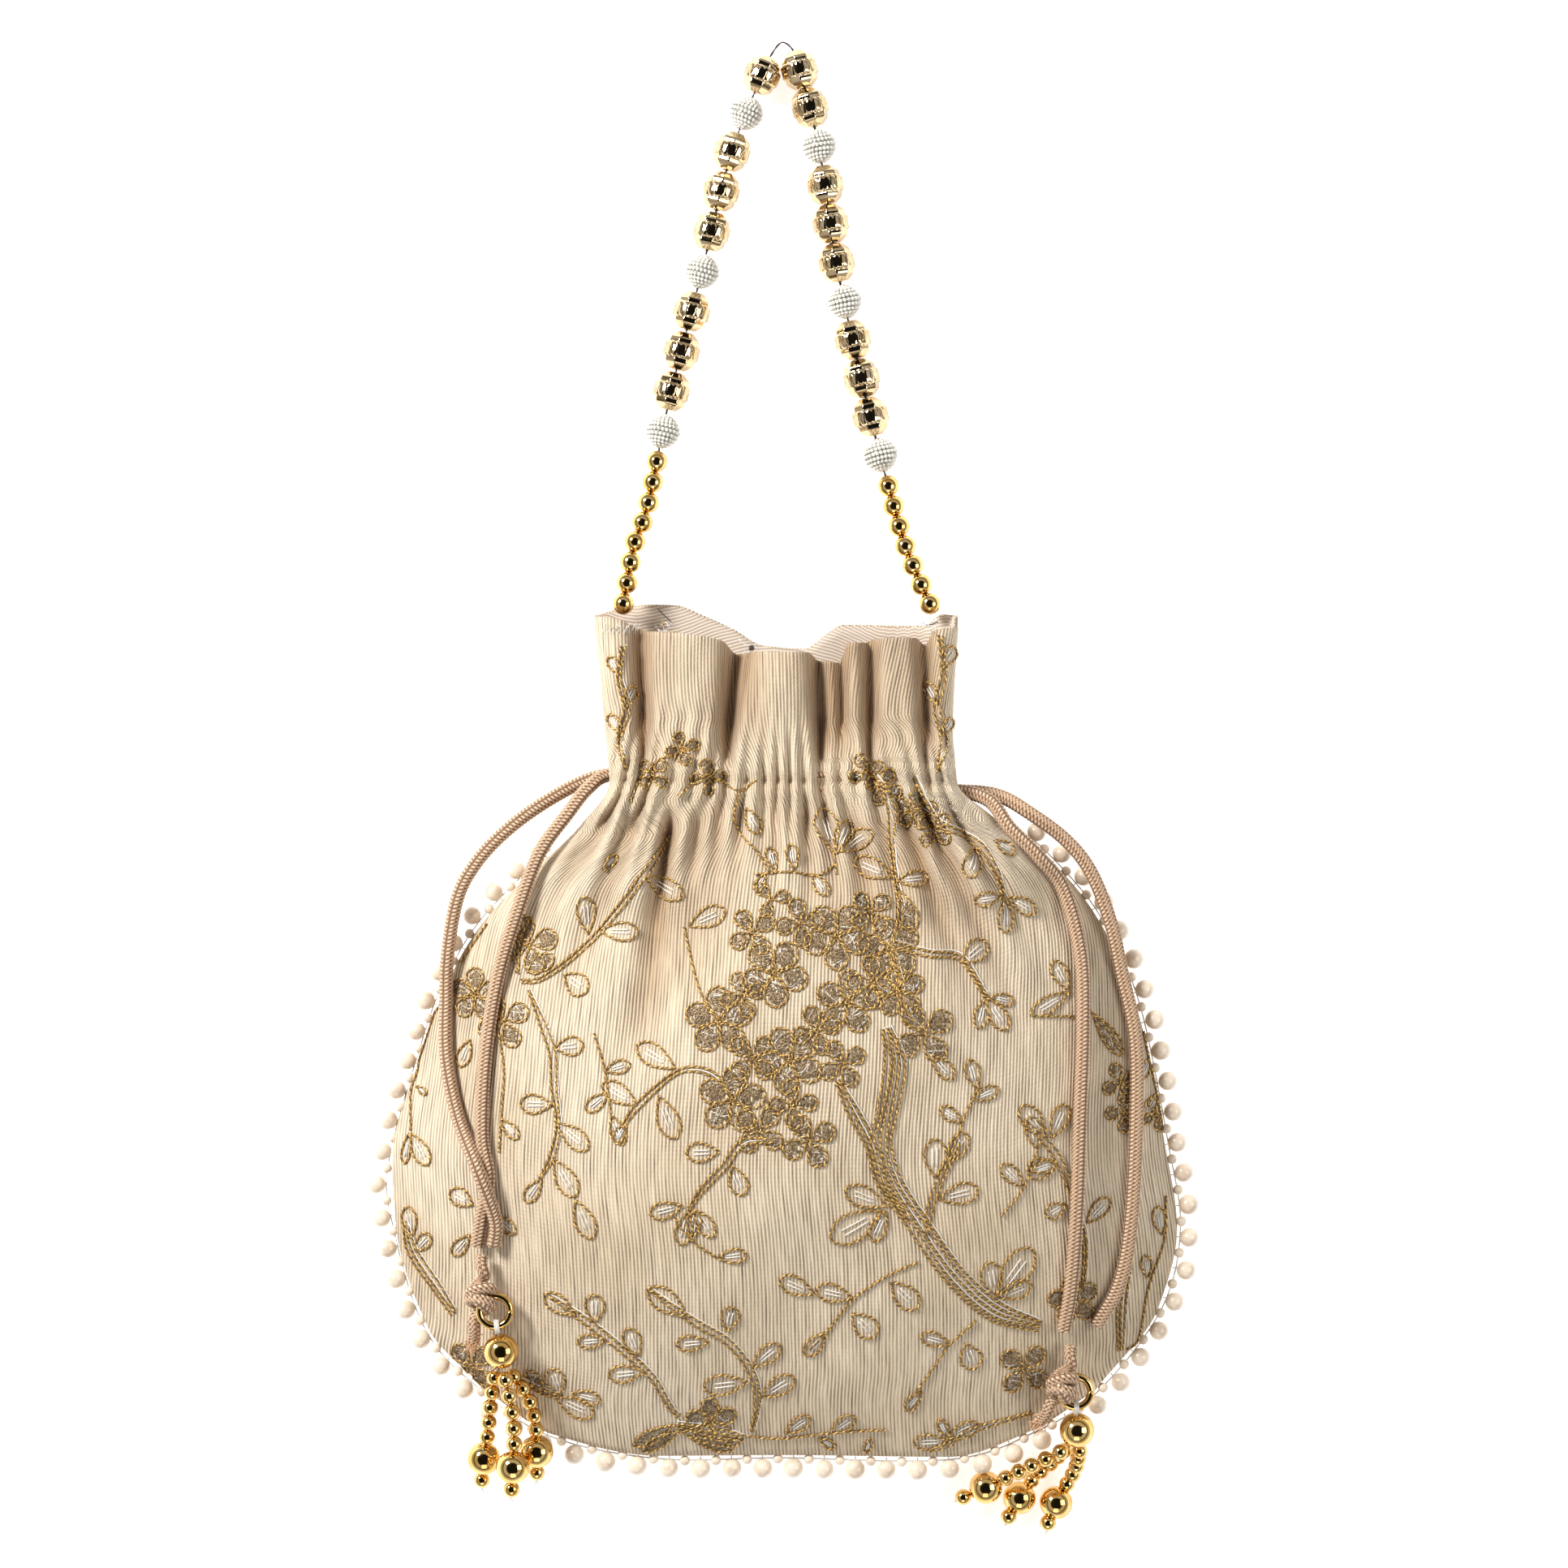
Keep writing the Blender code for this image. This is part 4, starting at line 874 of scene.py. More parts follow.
def build_tassel(side, ring, direction, strands):
    """The gold ring, the thread loop on it, the top bead and the three strands."""
    centre, direction = Vector(ring), Vector(direction)
    body = f"{side}_tassel"
    wire = Shape()
    wire.tube(hoop_line(centre, RING_MAJOR, count=64), RING_WIRE, 14)
    wire.piece(f"{side}_gold_ring", GOLD, body, [f"{side}_jump_ring"], "bright_gold")
    level = Vector((direction.x, direction.y, 0)).normalized()
    hook = centre + RING_MAJOR * level
    bead = hook + (LOOP_MAJOR + LOOP_WIRE + TOUCH_GAP + TOP_BEAD_RADIUS) * direction.normalized()
    upright = Matrix(((level.x, 0, level.y), (level.y, 0, -level.x), (0, 1, 0)))
    loop = Shape()
    for shift in (-0.45, 0.0, 0.45):
        line = [p + shift * MM * level.cross(Vector((0, 0, 1))) for p in
                hoop_line(hook, LOOP_MAJOR * (1 + 0.1 * shift), upright, 24)]
        loop.tube(line, 0.00024, 6)
    loop.tube([hook + LOOP_MAJOR * level, bead - TOP_BEAD_RADIUS * 0.9 * direction.normalized()], 0.0003, 6)
    loop.piece(f"{side}_thread_loop", WHITE, body, [f"{side}_tassel_thread"], "white_thread")
    top = Shape()
    outline = gold_outline(TOP_BEAD_RADIUS, 2 * TOP_BEAD_RADIUS * 0.96, BORE_RADIUS, 22)
    top.turned(outline, 36, facing(bead, direction))
    top.piece(f"{side}_top_bead", GOLD, body, [f"{side}_tassel_bead"], "bright_gold")
    for number, route in enumerate(strands, 1):
        build_strand(side, number, route)


def build_strand(side, number, route):
    """Five small beads, a large one and an end bead, threaded and knotted on a white thread."""
    sizes = [STRAND_SMALL] * 5 + [STRAND_LARGE, STRAND_END]
    total = walk(route, [])[1]
    room = (total - 2 * sum(sizes)) / len(sizes)
    beads, thread = Shape(), Shape()
    at = 0.0
    for size in sizes:
        middle = at + room + size
        (centre, direction), = walk(route, [middle])[0]
        outline = gold_outline(0.98 * size, 1.92 * size, 0.0005, 16 if size < STRAND_LARGE else 24)
        beads.turned(outline, 20 if size < STRAND_LARGE else 36, facing(centre, direction))
        at = middle + size
    body = f"{side}_strand_{number}"
    replaced = [f"{side}_tassel_strand_{number}"]
    beads.piece(f"{side}_strand_beads_{number}", GOLD, body, replaced, "bright_gold")
    line = curve_through(route, 0.001)
    thread.tube(line, 0.0003, 6)
    tail = line[-1] - line[-3]
    thread.ball(line[-1], 0.0006, 6, 8)
    for swing in (-0.4, 0.5):
        aside = tail.cross(Vector((0, 0, 1))).normalized()
        tip = line[-1] + tail.normalized() * 0.0016 + swing * MM * aside
        thread.tube([line[-1], tip], 0.00016, 4)
    thread.piece(f"{side}_strand_thread_{number}", WHITE, body)


# ----------------------------------------------------------------------------------------- handle
def faceted_outline():
    """Two stepped, cut cones either side of a ribbed band, from hole to hole."""
    half, r = FACETED_LENGTH / 2, FACETED_RADIUS
    upper = [(0.20 * r, half - 0.0004), (0.24 * r, half), (0.46 * r, half), (0.50 * r, 0.97 * half),
             (0.80 * r, 0.70 * half), (0.83 * r, 0.66 * half), (0.86 * r, 0.46 * half),
             (0.84 * r, 0.42 * half)]
    band = [(0.94 * r, 0.37 * half), (1.0 * r, 0.28 * half), (1.0 * r, 0.09 * half)]
    rest = [(radius, -height) for radius, height in [*upper, *band][::-1]]
    return [*upper, *band, *rest]


FACETS = 8
BAND_RIBS = 18


def faceted_relief(radius, height, angle):
    """Flat facets on the cones, and slanting ribs round the band."""
    if abs(height) < 0.39 * FACETED_LENGTH / 2:
        slant = angle + 0.9 * height / FACETED_LENGTH * 2
        rib = abs(math.sin(slant * BAND_RIBS / 2))
        return 0.90 + 0.11 * rib, rib
    if radius < 0.4 * FACETED_RADIUS:
        return 1.0, 1.0
    cut = math.pi / FACETS
    within = (angle % (2 * cut)) - cut
    return math.cos(cut) / math.cos(within) * 1.03, 1.0


def build_faceted(name, place):
    shape = Shape()
    shape.turned(faceted_outline(), BAND_RIBS * 6, place, faceted_relief)
    bead = shape.piece(f"{name}_cut", CHAMPAGNE, "handle", [name], "champagne_gold")
    return bead


def pearled_ball(name, place):
    """A white ball set all over with rows of tiny pearls, on a core painted dark as the shade between them.
    """
    shape = Shape()
    core = gold_outline(PEARL_BALL_RADIUS * 0.80, 2 * PEARL_BALL_RADIUS * 0.80, BORE_RADIUS, 14)
    # Painted shade: the core's low shade makes it dark grey where it shows between the tiny pearls.
    shape.turned(core, 24, place, lambda r, h, a: (1.0, 0.25))
    seed = 0.00060
    rows = 11
    for row in range(rows):
        tilt = math.pi * (row + 0.9) / (rows + 0.8)
        height, out = math.cos(tilt), math.sin(tilt)
        peak = 0.90 + 0.14 * math.exp(-((row - rows // 2) / 2.2) ** 2)
        count = max(6, round(2 * math.pi * out * PEARL_BALL_RADIUS / (2 * seed) * 0.90))
        for k in range(count):
            angle = 2 * math.pi * (k + 0.5 * (row % 2)) / count
            reach = (PEARL_BALL_RADIUS - seed) * 0.96 * peak
            spot = Vector((out * math.cos(angle), out * math.sin(angle), 1.12 * height)) * reach
            shape.ball(place @ spot, seed, 3, 6)
    return shape.piece(f"{name}_set", PEARL_WHITE, "handle", [name], "pearl_ball")


def build_handle_side(side, route, kinds, pitch, small):
    """One side of the handle. Gives back the beads' centres, from the apex to the rim."""
    total = walk(route, [])[1]
    gaps = [i * pitch for i in range(len(kinds))]
    gaps += [total - (small - 1 - i) * SMALL_PITCH for i in range(small)]
    places = walk(route, gaps)[0]
    for number, (kind, (centre, direction)) in enumerate(zip(kinds, places), 1):
        spin = random.uniform(0, 2 * math.pi)
        if kind == "F":
            build_faceted(f"{side}_faceted_bead_{number:02d}", facing(centre, direction, spin))
        else:
            pearled_ball(f"{side}_pearl_bead_{number:02d}", facing(centre, direction, spin))
    outline = gold_outline(SMALL_RADIUS, SMALL_LENGTH, BORE_RADIUS, 16)
    for number, (centre, direction) in enumerate(places[len(kinds):], 1):
        bead = Shape()
        bead.turned(outline, 28, facing(centre, direction))
        name = f"{side}_gold_bead_{number}"
        bead.piece(f"{name}_round", GOLD, "handle", [name], "bright_gold")
    return [centre for centre, _ in places]


def build_handle():
    """Both sides' beads, and the dark thread of two plies that runs through them."""
    left = build_handle_side("left", LEFT_HANDLE, LEFT_LARGE, LEFT_PITCH, LEFT_SMALL)
    right = build_handle_side("right", RIGHT_HANDLE, RIGHT_LARGE, RIGHT_PITCH, RIGHT_SMALL)
    top_left = left[0] + (left[0] - left[1]).normalized() * FACETED_LENGTH / 2
    top_right = right[0] + (right[0] - right[1]).normalized() * FACETED_LENGTH / 2
    apex = (top_left + top_right) / 2 + Vector((0, APEX_HEIGHT, 0))
    line = curve_through([*left[::-1], top_left, apex, top_right, *right], 0.0008)
    thread = Shape()
    for phase in (0.0, math.pi):
        ply = []
        for i, here in enumerate(line):
            angle = phase + i * 0.9
            ply.append(here + 0.00016 * Vector((math.cos(angle), 0, math.sin(angle))))
        thread.tube(ply, 0.00022, 5)
    thread.piece("handle_twisted_thread", DARK, "handle", ["handle_thread"], "dark_thread")


# -------------------------------------------------------------------------------------- embroidery
SURFACE = None  # the front cloth's tree, for laying threads on it
# SHADOW gathers the dark plies: painted shade along the couched gold lines.
OUTLINE, SHADOW, FILL, STITCH = Shape(), Shape(), Shape(), Shape()
PLY_RADIUS = 0.00027
PLY_APART = 0.00022
PLY_TURN = 2.3 * MM  # the length of one turn of the two plies round each other
ROPE_SPACING = 0.64  # mm between a line's points
FILL_RADIUS = 0.00023
LEAF_STITCH_RADIUS = 0.00024
STEM_STITCH_RADIUS = 0.00022
STRAND_SPACING = 1.4  # mm between a stalk's lines


def on_cloth(x, y, lift=0.0002):
    """The point of the front cloth under (x, y), in mm, lifted off it."""
    hit, normal, _, _ = SURFACE.ray_cast(Vector((x * MM, y * MM, 0.08)), Vector((0, 0, -1)))
    if hit is None:
        return None
    if normal.z < 0:
        normal = -normal
    return hit + lift * normal


def laid(shape, flat, radius, sides=4, lift=0.0002, spacing=0.9, wobble=0.12):
    """A thread through these flat points (mm), laid on the cloth."""
    line = curve_through([(x, y, 0) for x, y in flat], spacing)
    found = []
    for p in line:
        spot = on_cloth(p.x + random.uniform(-wobble, wobble), p.y + random.uniform(-wobble, wobble), lift)
        if spot is not None:
            found.append(spot)
    if len(found) > 1:
        shape.tube(found, radius, sides)


def rope(flat):
    """A couched line: a gold ply twisted together with a dark ply of painted shade, laid through these
    points (mm).
    """
    line = curve_through([(x, y, 0) for x, y in flat], ROPE_SPACING)
    spots = [on_cloth(p.x, p.y, 0.00030) for p in line]
    spots = [spot for spot in spots if spot is not None]
    if len(spots) < 2:
        return
    start = random.uniform(0, 2 * math.pi)
    for shape, phase in ((OUTLINE, start), (SHADOW, start + math.pi)):
        ply, distance = [], 0.0
        for i, here in enumerate(spots):
            ahead = spots[min(i + 1, len(spots) - 1)] - spots[max(i - 1, 0)]
            side = ahead.cross(Vector((0, 0, 1))).normalized()
            angle = phase + 2 * math.pi * distance / PLY_TURN
            ply.append(here + PLY_APART * (math.cos(angle) * side + math.sin(angle) * Vector((0, 0, 1))))
            distance += ahead.length / 2
        shape.tube(ply, PLY_RADIUS if shape is OUTLINE else 0.85 * PLY_RADIUS, 4)


def turned_point(origin, angle, along, aside):
    return (origin[0] + along * math.cos(angle) - aside * math.sin(angle),
            origin[1] + along * math.sin(angle) + aside * math.cos(angle))


def petal(base, angle, length, width, filled):
    """A teardrop loop from its base; filled with scribbled thread, or with white centre stitches."""
    rim = [(0.0, 0.0), (0.25, 0.28), (0.55, 0.48), (0.82, 0.40), (1.0, 0.0),
           (0.82, -0.40), (0.55, -0.48), (0.25, -0.28), (0.0, 0.0)]
    loop = [turned_point(base, angle, a * length, b * width) for a, b in rim]
    rope(loop)
    if filled:
        for _ in range(int(9 + length * 1.5)):
            a, c = random.uniform(0.18, 0.92), random.uniform(0.18, 0.92)
            reach = 0.44 * width
            ends = [(a, random.uniform(-1, 1) * reach * math.sin(math.pi * min(a, 0.9))),
                    ((a + c) / 2, random.uniform(-1, 1) * reach * 0.9),
                    (c, random.uniform(-1, 1) * reach * math.sin(math.pi * min(c, 0.9)))]
            flat = [turned_point(base, angle, s * length, t) for s, t in ends]
            shape = STITCH if random.random() < 0.06 else FILL
            laid(shape, flat, FILL_RADIUS, 3, 0.00016, 1.05, 0.05)
    else:
        for aside in (-0.07, 0.08):
            start, end = 0.25 + abs(aside) * 0.6, 0.84 - abs(aside)
            flat = [turned_point(base, angle, s * length, aside * width * (1 + 0.5 * s)) for s in
                    (start, (start + end) / 2, end)]
            laid(STITCH, flat, LEAF_STITCH_RADIUS, 4, 0.00018, 0.9, 0.04)


def flower(x, y, size, petals=5, start=0.3, missing=()):
    """A blossom of filled petals round a small knot."""
    for k in range(petals):
        if k in missing:
            continue
        angle = start + 2 * math.pi * k / petals
        base = turned_point((x, y), angle, 0.8, 0.0)
        petal(base, angle, size, size * 0.78, True)
    rope([(x - 0.6, y), (x, y + 0.6), (x + 0.6, y), (x, y - 0.6), (x - 0.6, y)])


def stem(points, strands=1):
    """A stalk of one or more lines side by side, with white stitches between them."""
    for k in range(strands):
        moved = []
        for i, (x, y) in enumerate(points):
            taper = 0.45 if i in (0, len(points) - 1) else 1.0
            shift = (k - (strands - 1) / 2) * STRAND_SPACING * taper
            bx, by = points[max(i - 1, 0)]
            ax, ay = points[min(i + 1, len(points) - 1)]
            size = math.hypot(ax - bx, ay - by) or 1.0
            moved.append((x - shift * (ay - by) / size, y + shift * (ax - bx) / size))
        rope([(x + random.uniform(-0.3, 0.3), y + random.uniform(-0.3, 0.3)) for x, y in moved])
        if k:
            beside = [(x + 0.3, y + 0.5) for x, y in moved]
            laid(STITCH, beside, STEM_STITCH_RADIUS, 4, 0.00016, 0.9, 0.1)


def leaf(x, y, tip_x, tip_y, filled=False, wide=0.50):
    """A leaf loop from its base to its tip."""
    length = math.hypot(tip_x - x, tip_y - y)
    petal((x, y), math.atan2(tip_y - y, tip_x - x), length, length * wide, filled)


# Where the embroidery lies, in mm, seen from above. A flower is (x, y, petal length, petals, turn).
FLOWERS = [
    (-17.5, 34.0, 8.5, 5, 0.35), (-2.5, 47.0, 8.5, 5, 1.0), (17.5, 39.0, 8.0, 5, 0.2),
    (1.8, 23.5, 8.5, 5, 0.75), (-14.0, 12.5, 8.5, 5, 0.2), (14.5, 57.0, 8.5, 5, 0.95),
    (29.0, 53.5, 8.0, 5, 0.5), (38.5, 30.5, 8.0, 4, 0.6), (7.0, 1.5, 7.0, 4, 0.5),
    (-86.0, 40.0, 6.5, 5, 0.3), (-77.5, 33.0, 7.0, 4, 0.5), (-70.5, 54.0, 7.5, 4, 0.3),
    (23.0, 102.0, 4.5, 4, 0.4), (36.5, 91.5, 5.0, 5, 0.2), (42.0, 86.0, 4.5, 4, 0.9),
    (-28.0, 108.5, 4.0, 4, 0.3), (-36.0, 101.5, 4.0, 4, 0.8), (-21.0, 100.5, 4.2, 4, 0.1),
    (94.0, 15.5, 4.8, 4, 0.4), (95.0, 7.0, 4.8, 4, 0.0), (67.0, -64.0, 7.0, 4, 0.9),
    (80.5, -44.5, 6.5, 5, 0.5), (-20.0, -79.0, 6.5, 5, 0.4), (-87.5, -64.0, 6.5, 4, 0.7),
    (104.5, 6.0, 4.0, 4, 0.3), (-3.5, 67.0, 4.5, 3, 0.2), (24.5, 44.5, 6.5, 4, 0.1),
    (-6.5, 4.5, 6.5, 4, 0.9), (28.0, 98.0, 4.5, 4, 1.2), (9.0, 31.5, 6.0, 4, 0.3),
    (-8.5, 58.0, 6.0, 4, 0.6), (4.5, 60.5, 6.0, 4, 0.2), (-8.5, 24.0, 6.5, 4, 0.8),
    (31.5, 42.0, 6.5, 5, 0.4), (16.0, 22.5, 6.0, 4, 0.5), (2.5, 11.5, 6.0, 4, 0.1),
    (24.0, 63.5, 5.5, 4, 0.7), (-11.0, 41.0, 5.5, 4, 0.3),
]
# A sprig is its stalk's points, its leaves (base x, y, tip x, y[, filled[, width]]) and strands.
SPRIGS = [
    ([(46, -3), (49, 6), (53, 15)], [(49, 6, 43, 10), (53, 15, 51, 23), (52, 12, 59, 15)], 1),
    ([(-52, 30), (-49, 20), (-47, 8)], [(-49, 20, -42, 22), (-48, 14, -54, 9), (-47, 8, -44, 0)], 1),
    ([(60, -20), (66, -12), (70, -2)], [(66, -12, 60, -6), (70, -2, 68, 7), (68, -8, 75, -6)], 1),
    ([(-30, -20), (-25, -26), (-18, -31)], [(-25, -26, -24, -18), (-18, -31, -10, -30)], 1),
    ([(-32, 84), (-38, 74), (-47, 62), (-54.5, 54), (-66.5, 45), (-72.5, 44)],
     [(-38, 73, -28, 67.5), (-50.5, 58, -40, 58), (-54, 57, -55, 67.5),
      (-60.5, 46, -54, 41.5, False, 0.8), (-50, 75, -46, 79)], 2),
    ([(-70.5, 41.5), (-66, 31.5), (-63.5, 24.5), (-63, 15.5), (-62, 5), (-63.5, -3.5), (-67, -10)],
     [(-63, 26, -55, 27, False, 0.65), (-63.5, 10.5, -72.5, 10.5, False, 0.6), (-62, 5.5, -53.5, -1.5),
      (-63, -4.5, -57, -14.5), (-57, -15.5, -52.5, -26), (-66.5, -10, -71, -16.5)], 2),
    ([(-79, 31), (-77, 19.5), (-78, 8), (-78.5, -3)], [(-78, 6, -73, 1), (-87, 27.5, -90, 20)], 1),
    ([(-74, 46), (-74, 55), (-71, 61)], [(-71, 46.5, -63.5, 51, True)], 2),
    ([(-83, 59.5), (-90.5, 49)], [], 1),
    ([(-97, 36), (-101, 28.5), (-102.5, 18.5), (-104.5, 12.5), (-104, 2)],
     [(-102.5, 14, -99.5, 12), (-104, 1, -99, -7.5), (-104.5, 1, -106, -7.5, False, 0.3)], 1),
    ([(-27.5, 59.5), (-22.5, 42), (-17.5, 34)], [(-26, 59.5, -16, 64)], 1),
    ([(-14, 14), (-20, 20), (-29, 20), (-39.5, 11), (-44, 4.5)],
     [(-29.5, 21, -40, 27), (-40, 11, -49.5, 16.5), (-34, 13.5, -29.5, 2), (-43, 6, -46, 0.5)], 2),
    ([(-42.5, 93.5), (-40, 100), (-34, 105), (-26, 108.5)], [], 1),
    ([(-29, 95.5), (-21.5, 101.5), (-12.5, 97), (-7.5, 100)], [], 1),
    ([(-12.5, 97), (-14, 88), (-7.5, 80), (-4, 74)], [(-5, 74, -7.5, 69), (-10, 92, -7, 85)], 1),
    ([(-8, 73.5), (2, 74.5), (9, 73.5), (15, 77)], [(-2, 74.5, -4, 81), (3, 75, 2, 82), (8, 74, 12, 68)], 1),
    ([(21.5, 106), (26.5, 99), (30, 92), (30, 82.5), (31, 72), (32.5, 63.5), (29.5, 54)],
     [(30, 73, 19.5, 77.5), (31.5, 72, 40, 73), (32.5, 69, 35.5, 58, True)], 2),
    ([(14.5, 79.5), (15, 74)],
     [(14.5, 79.5, 10.5, 92), (15, 79.5, 18, 88.5), (15.5, 80, 24.5, 85.5)], 1),
    ([(36.5, 100.5), (42.5, 88.5), (53.5, 82.5), (59, 74.5), (61.5, 66.5)],
     [(53.5, 81.5, 51.5, 73, False, 0.6), (58.5, 83, 64, 79.5), (60.5, 67.5, 53, 66.5),
      (62.5, 67.5, 70, 63), (61.5, 66.5, 61.5, 57.5)], 2),
    ([(30, 55), (39.5, 52), (49, 50.5), (56, 40)],
     [(49.5, 49.5, 56, 55, False, 0.7), (57, 40, 63.5, 38.5), (56, 39.5, 61.5, 31),
      (55.5, 39.5, 53.5, 31.5)], 2),
    ([(30, 54), (32, 44), (33, 36), (39, 30)], [(40.5, 24.5, 46.5, 18)], 2),
    ([(68.5, 34.5), (80.5, 34)], [(79.5, 41, 68.5, 35, False, 0.35), (79, 41.5, 75, 49.5)], 1),
    ([(84, 36.5), (89, 32), (94.5, 23)], [(86, 35, 94.5, 23, True, 0.3)], 1),
    ([(100, 37.5), (102.5, 24), (105, 14), (106, 4)], [(103, 22, 99.5, 16), (105, 12, 101, 6)], 2),
    ([(28, 32), (30.5, 22), (28, 8), (26.5, 0.5), (30, -11), (38, -23.5), (47.5, -37),
      (58.5, -47), (71, -51.5)], [], 5),
    ([(14.5, 18), (19, 9.5), (24, 0), (27, -10), (34, -21)], [], 3),
    ([(34, -16), (27, -17)],
     [(28, -16.5, 17, -12), (27, -18, 13, -26), (28, -18, 24.5, -26.5)], 1),
    ([(39.5, -25), (39.5, -19.5), (42.5, -11), (48.5, 0)],
     [(41.5, -9, 41.5, 1.5, False, 0.6), (45, -5.5, 50, 3), (42.5, -15, 53.5, -12.5)], 2),
    ([(37, -32.5), (28.5, -36), (19, -43), (12, -52.5), (7, -57.5)],
     [(29.5, -38, 37, -45.5, False, 0.6), (19, -47, 25.5, -53.5, False, 0.7), (19, -42.5, 9, -40),
      (8.5, -41.5, -1, -37), (12, -52.5, 6, -59)], 1),
    ([(53.5, -49.5), (46, -56.5), (40.5, -64.5), (36, -72)],
     [(46, -56, 38, -53.5), (50.5, -56, 53, -63.5, False, 0.8), (38.5, -70, 34, -75.5)], 1),
    ([(58.5, -44.5), (58.5, -42.5)],
     [(58.5, -42.5, 56.5, -33, False, 0.65), (59, -42.5, 68.5, -29.5), (59, -43, 68.5, -39.5)], 1),
    ([(66, 6), (75.5, -4), (80.5, -17.5), (83.5, -28.5), (83.5, -40)],
     [(75.5, -6.5, 67, -8, False, 0.7), (78, -17.5, 72.5, -20.5, False, 0.7), (84, -23, 90.5, -16.5),
      (72.5, 1, 65.5, 10), (74, 1, 78, 10)], 2),
    ([(107, -16.5), (106.5, -28.5), (102, -42.5), (99.5, -56.5), (96.5, -59.5)],
     [(106, -27.5, 104.5, -19.5), (102, -39.5, 101, -33)], 1),
    ([(96.5, -33), (94.5, -45.5), (94.5, -60)], [], 3),
    ([(69.5, -77), (53.5, -81.5), (46, -86), (41, -88)],
     [(46, -84, 43.5, -78.5), (46, -84, 54.5, -80), (46, -85, 36.5, -85.5)], 2),
    ([(-10, -83.5), (0, -84), (14.5, -82.5), (29, -81.5)],
     [(0.5, -82.5, 7.5, -77.5), (13, -82.5, 20, -77.5), (10, -84, 14.5, -87),
      (24.5, -84, 23, -88.5)], 1),
    ([(-64.5, -43), (-54, -50), (-44, -58), (-36.5, -65.5), (-32, -74), (-29, -77.5)],
     [(-57.5, -48, -66, -42.5), (-52, -50, -52, -42, False, 0.7), (-49, -55, -57, -56),
      (-40, -59.5, -43, -51.5, False, 0.6), (-38.5, -64, -48.5, -65.5)], 2),
    ([(-36.5, -40.5), (-25, -49), (-15.5, -55), (-9, -63.5), (-7, -72.5), (-8.5, -82)],
     [(-26.5, -47.5, -37, -40), (-15.5, -52, -14, -45, False, 0.7), (-20.5, -55, -29.5, -56),
      (-8.5, -62.5, -1, -56), (-10, -67, -22, -68.5), (-6, -71.5, 3, -65.5)], 2),
    ([(-30, -80), (-20, -82), (-11, -84)],
     [(-30.5, -80, -42, -86.5, True, 0.3), (-29, -82, -39.5, -88, True, 0.3),
      (-29, -82, -12, -85.5, True, 0.25), (-26, -84, -14, -87.5, True, 0.3)], 3),
    ([(-106, -24), (-103.5, -32.5), (-97, -42), (-92, -49)],
     [(-104, -28.5, -105, -19.5), (-103, -32, -98.5, -27, False, 0.6)], 3),
    ([(-84, -16), (-83, -30)],
     [(-86, -18, -92.5, -14.5, False, 0.7), (-87, -26.5, -92, -32.5), (-80, -20.5, -74, -25.5)], 1),
    ([(-82, -66), (-74, -68), (-66.5, -71), (-62, -72)],
     [(-62, -71.5, -64.5, -64, False, 0.7), (-59, -71, -51, -73), (-63.5, -72.5, -53, -77.5),
      (-66.5, -71, -71.5, -65, True)], 2),
    ([(-2, 1.5), (-11, 1), (-16, -5.5), (-22, -12), (-26, -17.5)],
     [(-17.5, -1.5, -26.5, -2, False, 0.6), (-14, -5.5, -11, -13.5, False, 0.6),
      (-27.5, -16.5, -36.5, -19), (-26, -18, -28, -27.5), (-24.5, -17.5, -19, -25)], 2),
    ([(-44.5, 137), (-45.5, 128), (-43.5, 120), (-45.5, 112), (-44, 103)],
     [(-45, 129, -48.5, 134), (-44, 120, -41.5, 126), (-45, 113, -48.5, 118)], 2),
    ([(43.5, 140), (44.5, 130), (43, 120), (44.5, 110), (42.5, 102)],
     [(44, 131, 47.5, 137, False, 0.6), (43, 121, 39.8, 127), (44, 112, 47, 117)], 2),
]


def build_embroidery():
    """All the blossoms and sprigs, gathered into one piece for each kind of thread."""
    for x, y, size, petals, turn in FLOWERS:
        flower(x, y, size, petals, turn)
    for points, leaves, strands in SPRIGS:
        stem(points, strands)
        for base_x, base_y, tip_x, tip_y, *more in leaves:
            filled, wide = (*more, *(False, 0.5)[len(more):])
            leaf(base_x, base_y, tip_x, tip_y, filled, wide)
    OUTLINE.piece("zari_embroidery", ZARI, "bag")
    SHADOW.piece("zari_painted_shade_ply", ZARI_SHADE_PLY, "bag")
    FILL.piece("petal_filling", ZARI_FILL, "bag")
    STITCH.piece("white_embroidery_stitches", WHITE_ZARI, "bag")


# ------------------------------------------------------------------------------------- loose threads
def loose_thread(shape, start, reach, curl, radius=0.00013, points=5):
    """A frayed end: a thread that wanders from its start, in mm."""
    at = Vector(start)
    heading = Vector(reach).normalized()
    step = Vector(reach).length / points
    line = [at * MM]
    for _ in range(points):
        heading = (heading + Vector([random.uniform(-curl, curl) for _ in range(3)])).normalized()
        at = at + heading * step
        line.append(at * MM)
    shape.tube(curve_through(line, 0.0006), radius, 4)


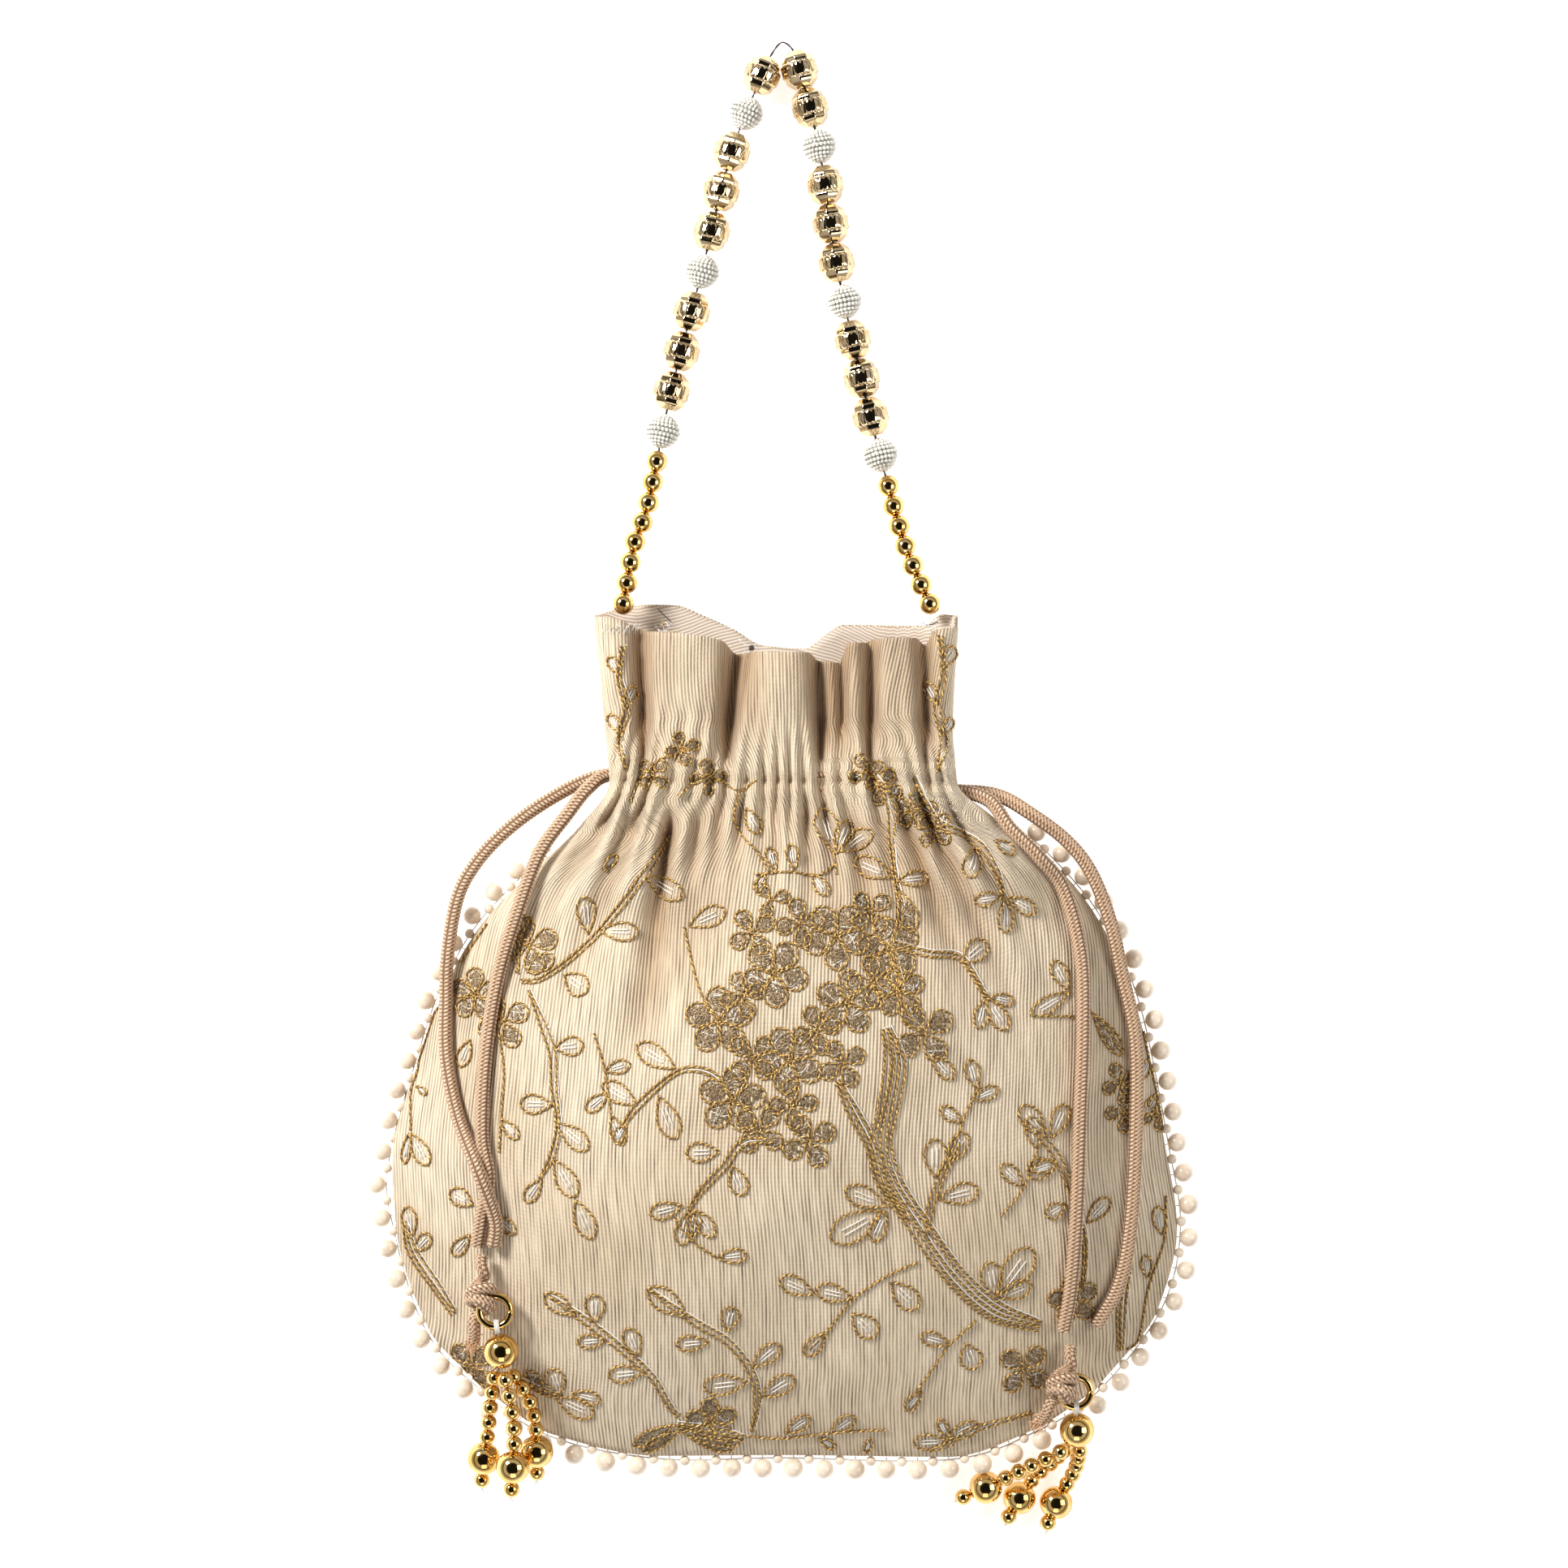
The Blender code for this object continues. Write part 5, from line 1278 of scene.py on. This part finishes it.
def build_loose_threads():
    """The stitches that hold the handle at the rim, and the fraying there."""
    white, gold, dark = Shape(), Shape(), Shape()
    for x, y, z, count in ((-33.5, 142.5, 20, 9), (41.0, 144.0, 20, 12), (-10.0, 136.5, 22, 5)):
        for _ in range(count):
            start = (x + random.uniform(-2, 2), y + random.uniform(-2, 1.5), z + random.uniform(-2, 1))
            reach = (random.uniform(-3.5, 3.5), random.uniform(-4, 3), random.uniform(-0.5, 1.5))
            loose_thread(white, start, reach, 0.7)
    for _ in range(14):
        start = (-33 + random.uniform(-2, 2), 140 + random.uniform(-2.5, 3), 20 + random.uniform(-1, 1))
        loose_thread(gold, start, (random.uniform(-2, 2), random.uniform(-3, 3), 0.5), 0.9, 0.0002)
    loose_thread(dark, (-31.0, 143.5, 20), (-3.5, 5.0, 0.5), 0.25, 0.00018)
    loose_thread(dark, (40.5, 143.0, 21), (3.0, -1.5, 0.5), 0.8, 0.0002)
    for number, x in enumerate(np.arange(-50, -40.5, 0.7)):
        spot = on_cloth(float(x), 140.5 + 0.9 * (number % 2), 0.0002)
        if spot is not None:
            loose_thread(white, tuple(spot / MM), (0.3, 2.4, 0.2), 0.35)
    white.piece("loose_white_threads", WHITE, "bag")
    gold.piece("loose_gold_threads", ZARI, "bag")
    dark.piece("loose_dark_threads", DARK, "bag")


# -------------------------------------------------------------------------------- camera and studio
FOCAL = 100.0
SENSOR = 36.0
FRAME_WIDTH = 0.4395
FLOOR_HALF = 1.6
FLOOR_Z = -0.0002
VIEW_CENTRE = (0.0002, 0.0987, 0.012)


def build_studio():
    """A pale floor, three soft lamps, a sky with dark bands for the metal to mirror, and the camera."""
    floor = bpy.data.meshes.new("studio_floor")
    x, y, height = VIEW_CENTRE
    corners = [(x + a * FLOOR_HALF, y + b * FLOOR_HALF, FLOOR_Z)
               for a, b in ((-1, -1), (1, -1), (1, 1), (-1, 1))]
    floor.from_pydata(corners, [], [(0, 1, 2, 3)])
    ground = bpy.data.objects.new("studio_floor", floor)
    floor.materials.append(finish_of("pale_floor", (0.93, 0.93, 0.93), 0.9, Emission_Strength=0.62,
                                     Emission_Color=(1.0, 1.0, 1.0, 1.0))[0])
    bpy.context.scene.collection.objects.link(ground)
    for name, place, power, width in (
        ("key", (-0.72, 0.62, 0.72), 18.0, 0.30),
        ("fill", (0.85, 0.05, 0.80), 4.2, 0.60),
        ("front", (0.0, -0.95, 0.75), 2.0, 0.60),
    ):
        light = bpy.data.lights.new(name, "AREA")
        light.energy, light.size = power, width
        lamp = bpy.data.objects.new(name, light)
        lamp.location = place
        aim = Vector((x, y - 0.05, 0.0)) - Vector(place)
        lamp.rotation_euler = aim.to_track_quat("-Z", "Y").to_euler()
        bpy.context.scene.collection.objects.link(lamp)
    bpy.context.scene.view_settings.view_transform = "Standard"
    world = bpy.data.worlds.new("soft_studio")
    world.use_nodes = True
    tree = world.node_tree
    up = node(tree, "SeparateXYZ", [(0, node(tree, "TexCoord").outputs["Generated"])]).outputs[2]
    sky = ramp(tree, up, (0.0, (1.0, 1.0, 1.0)), (0.24, (1.0, 1.0, 1.0)), (0.30, (0.22, 0.20, 0.18)),
               (0.42, (0.22, 0.20, 0.18)), (0.46, (1.0, 1.0, 1.0)), (0.72, (1.0, 1.0, 1.0)),
               (0.78, (0.02, 0.02, 0.02)))
    background = tree.nodes["Background"]
    tree.links.new(sky, background.inputs["Color"])
    background.inputs["Strength"].default_value = 0.58
    bpy.context.scene.world = world
    lens = bpy.data.cameras.new("camera")
    lens.lens, lens.sensor_width, lens.clip_start = FOCAL, SENSOR, 0.01
    camera = bpy.data.objects.new("camera", lens)
    camera.location = (x, y, height + FRAME_WIDTH * FOCAL / SENSOR)
    bpy.context.scene.collection.objects.link(camera)
    bpy.context.scene.camera = camera


SURFACE = build_cloth()
build_pearls()
for side, place, inner, outer, knot, ring, direction, strands in (
    ("left", CASING_Y + CORD_SPACING / 2, LEFT_INNER_LEG, LEFT_OUTER_LEG, LEFT_KNOT, LEFT_RING,
     LEFT_BEAD_DIRECTION, LEFT_STRANDS),
    ("right", CASING_Y - CORD_SPACING / 2, RIGHT_INNER_LEG, RIGHT_OUTER_LEG, RIGHT_KNOT, RIGHT_RING,
     RIGHT_BEAD_DIRECTION, RIGHT_STRANDS),
):
    build_cord(side, place, inner, outer, build_knot(side, knot))
    build_tassel(side, ring, direction, strands)
build_handle()
build_embroidery()
build_loose_threads()
build_studio()
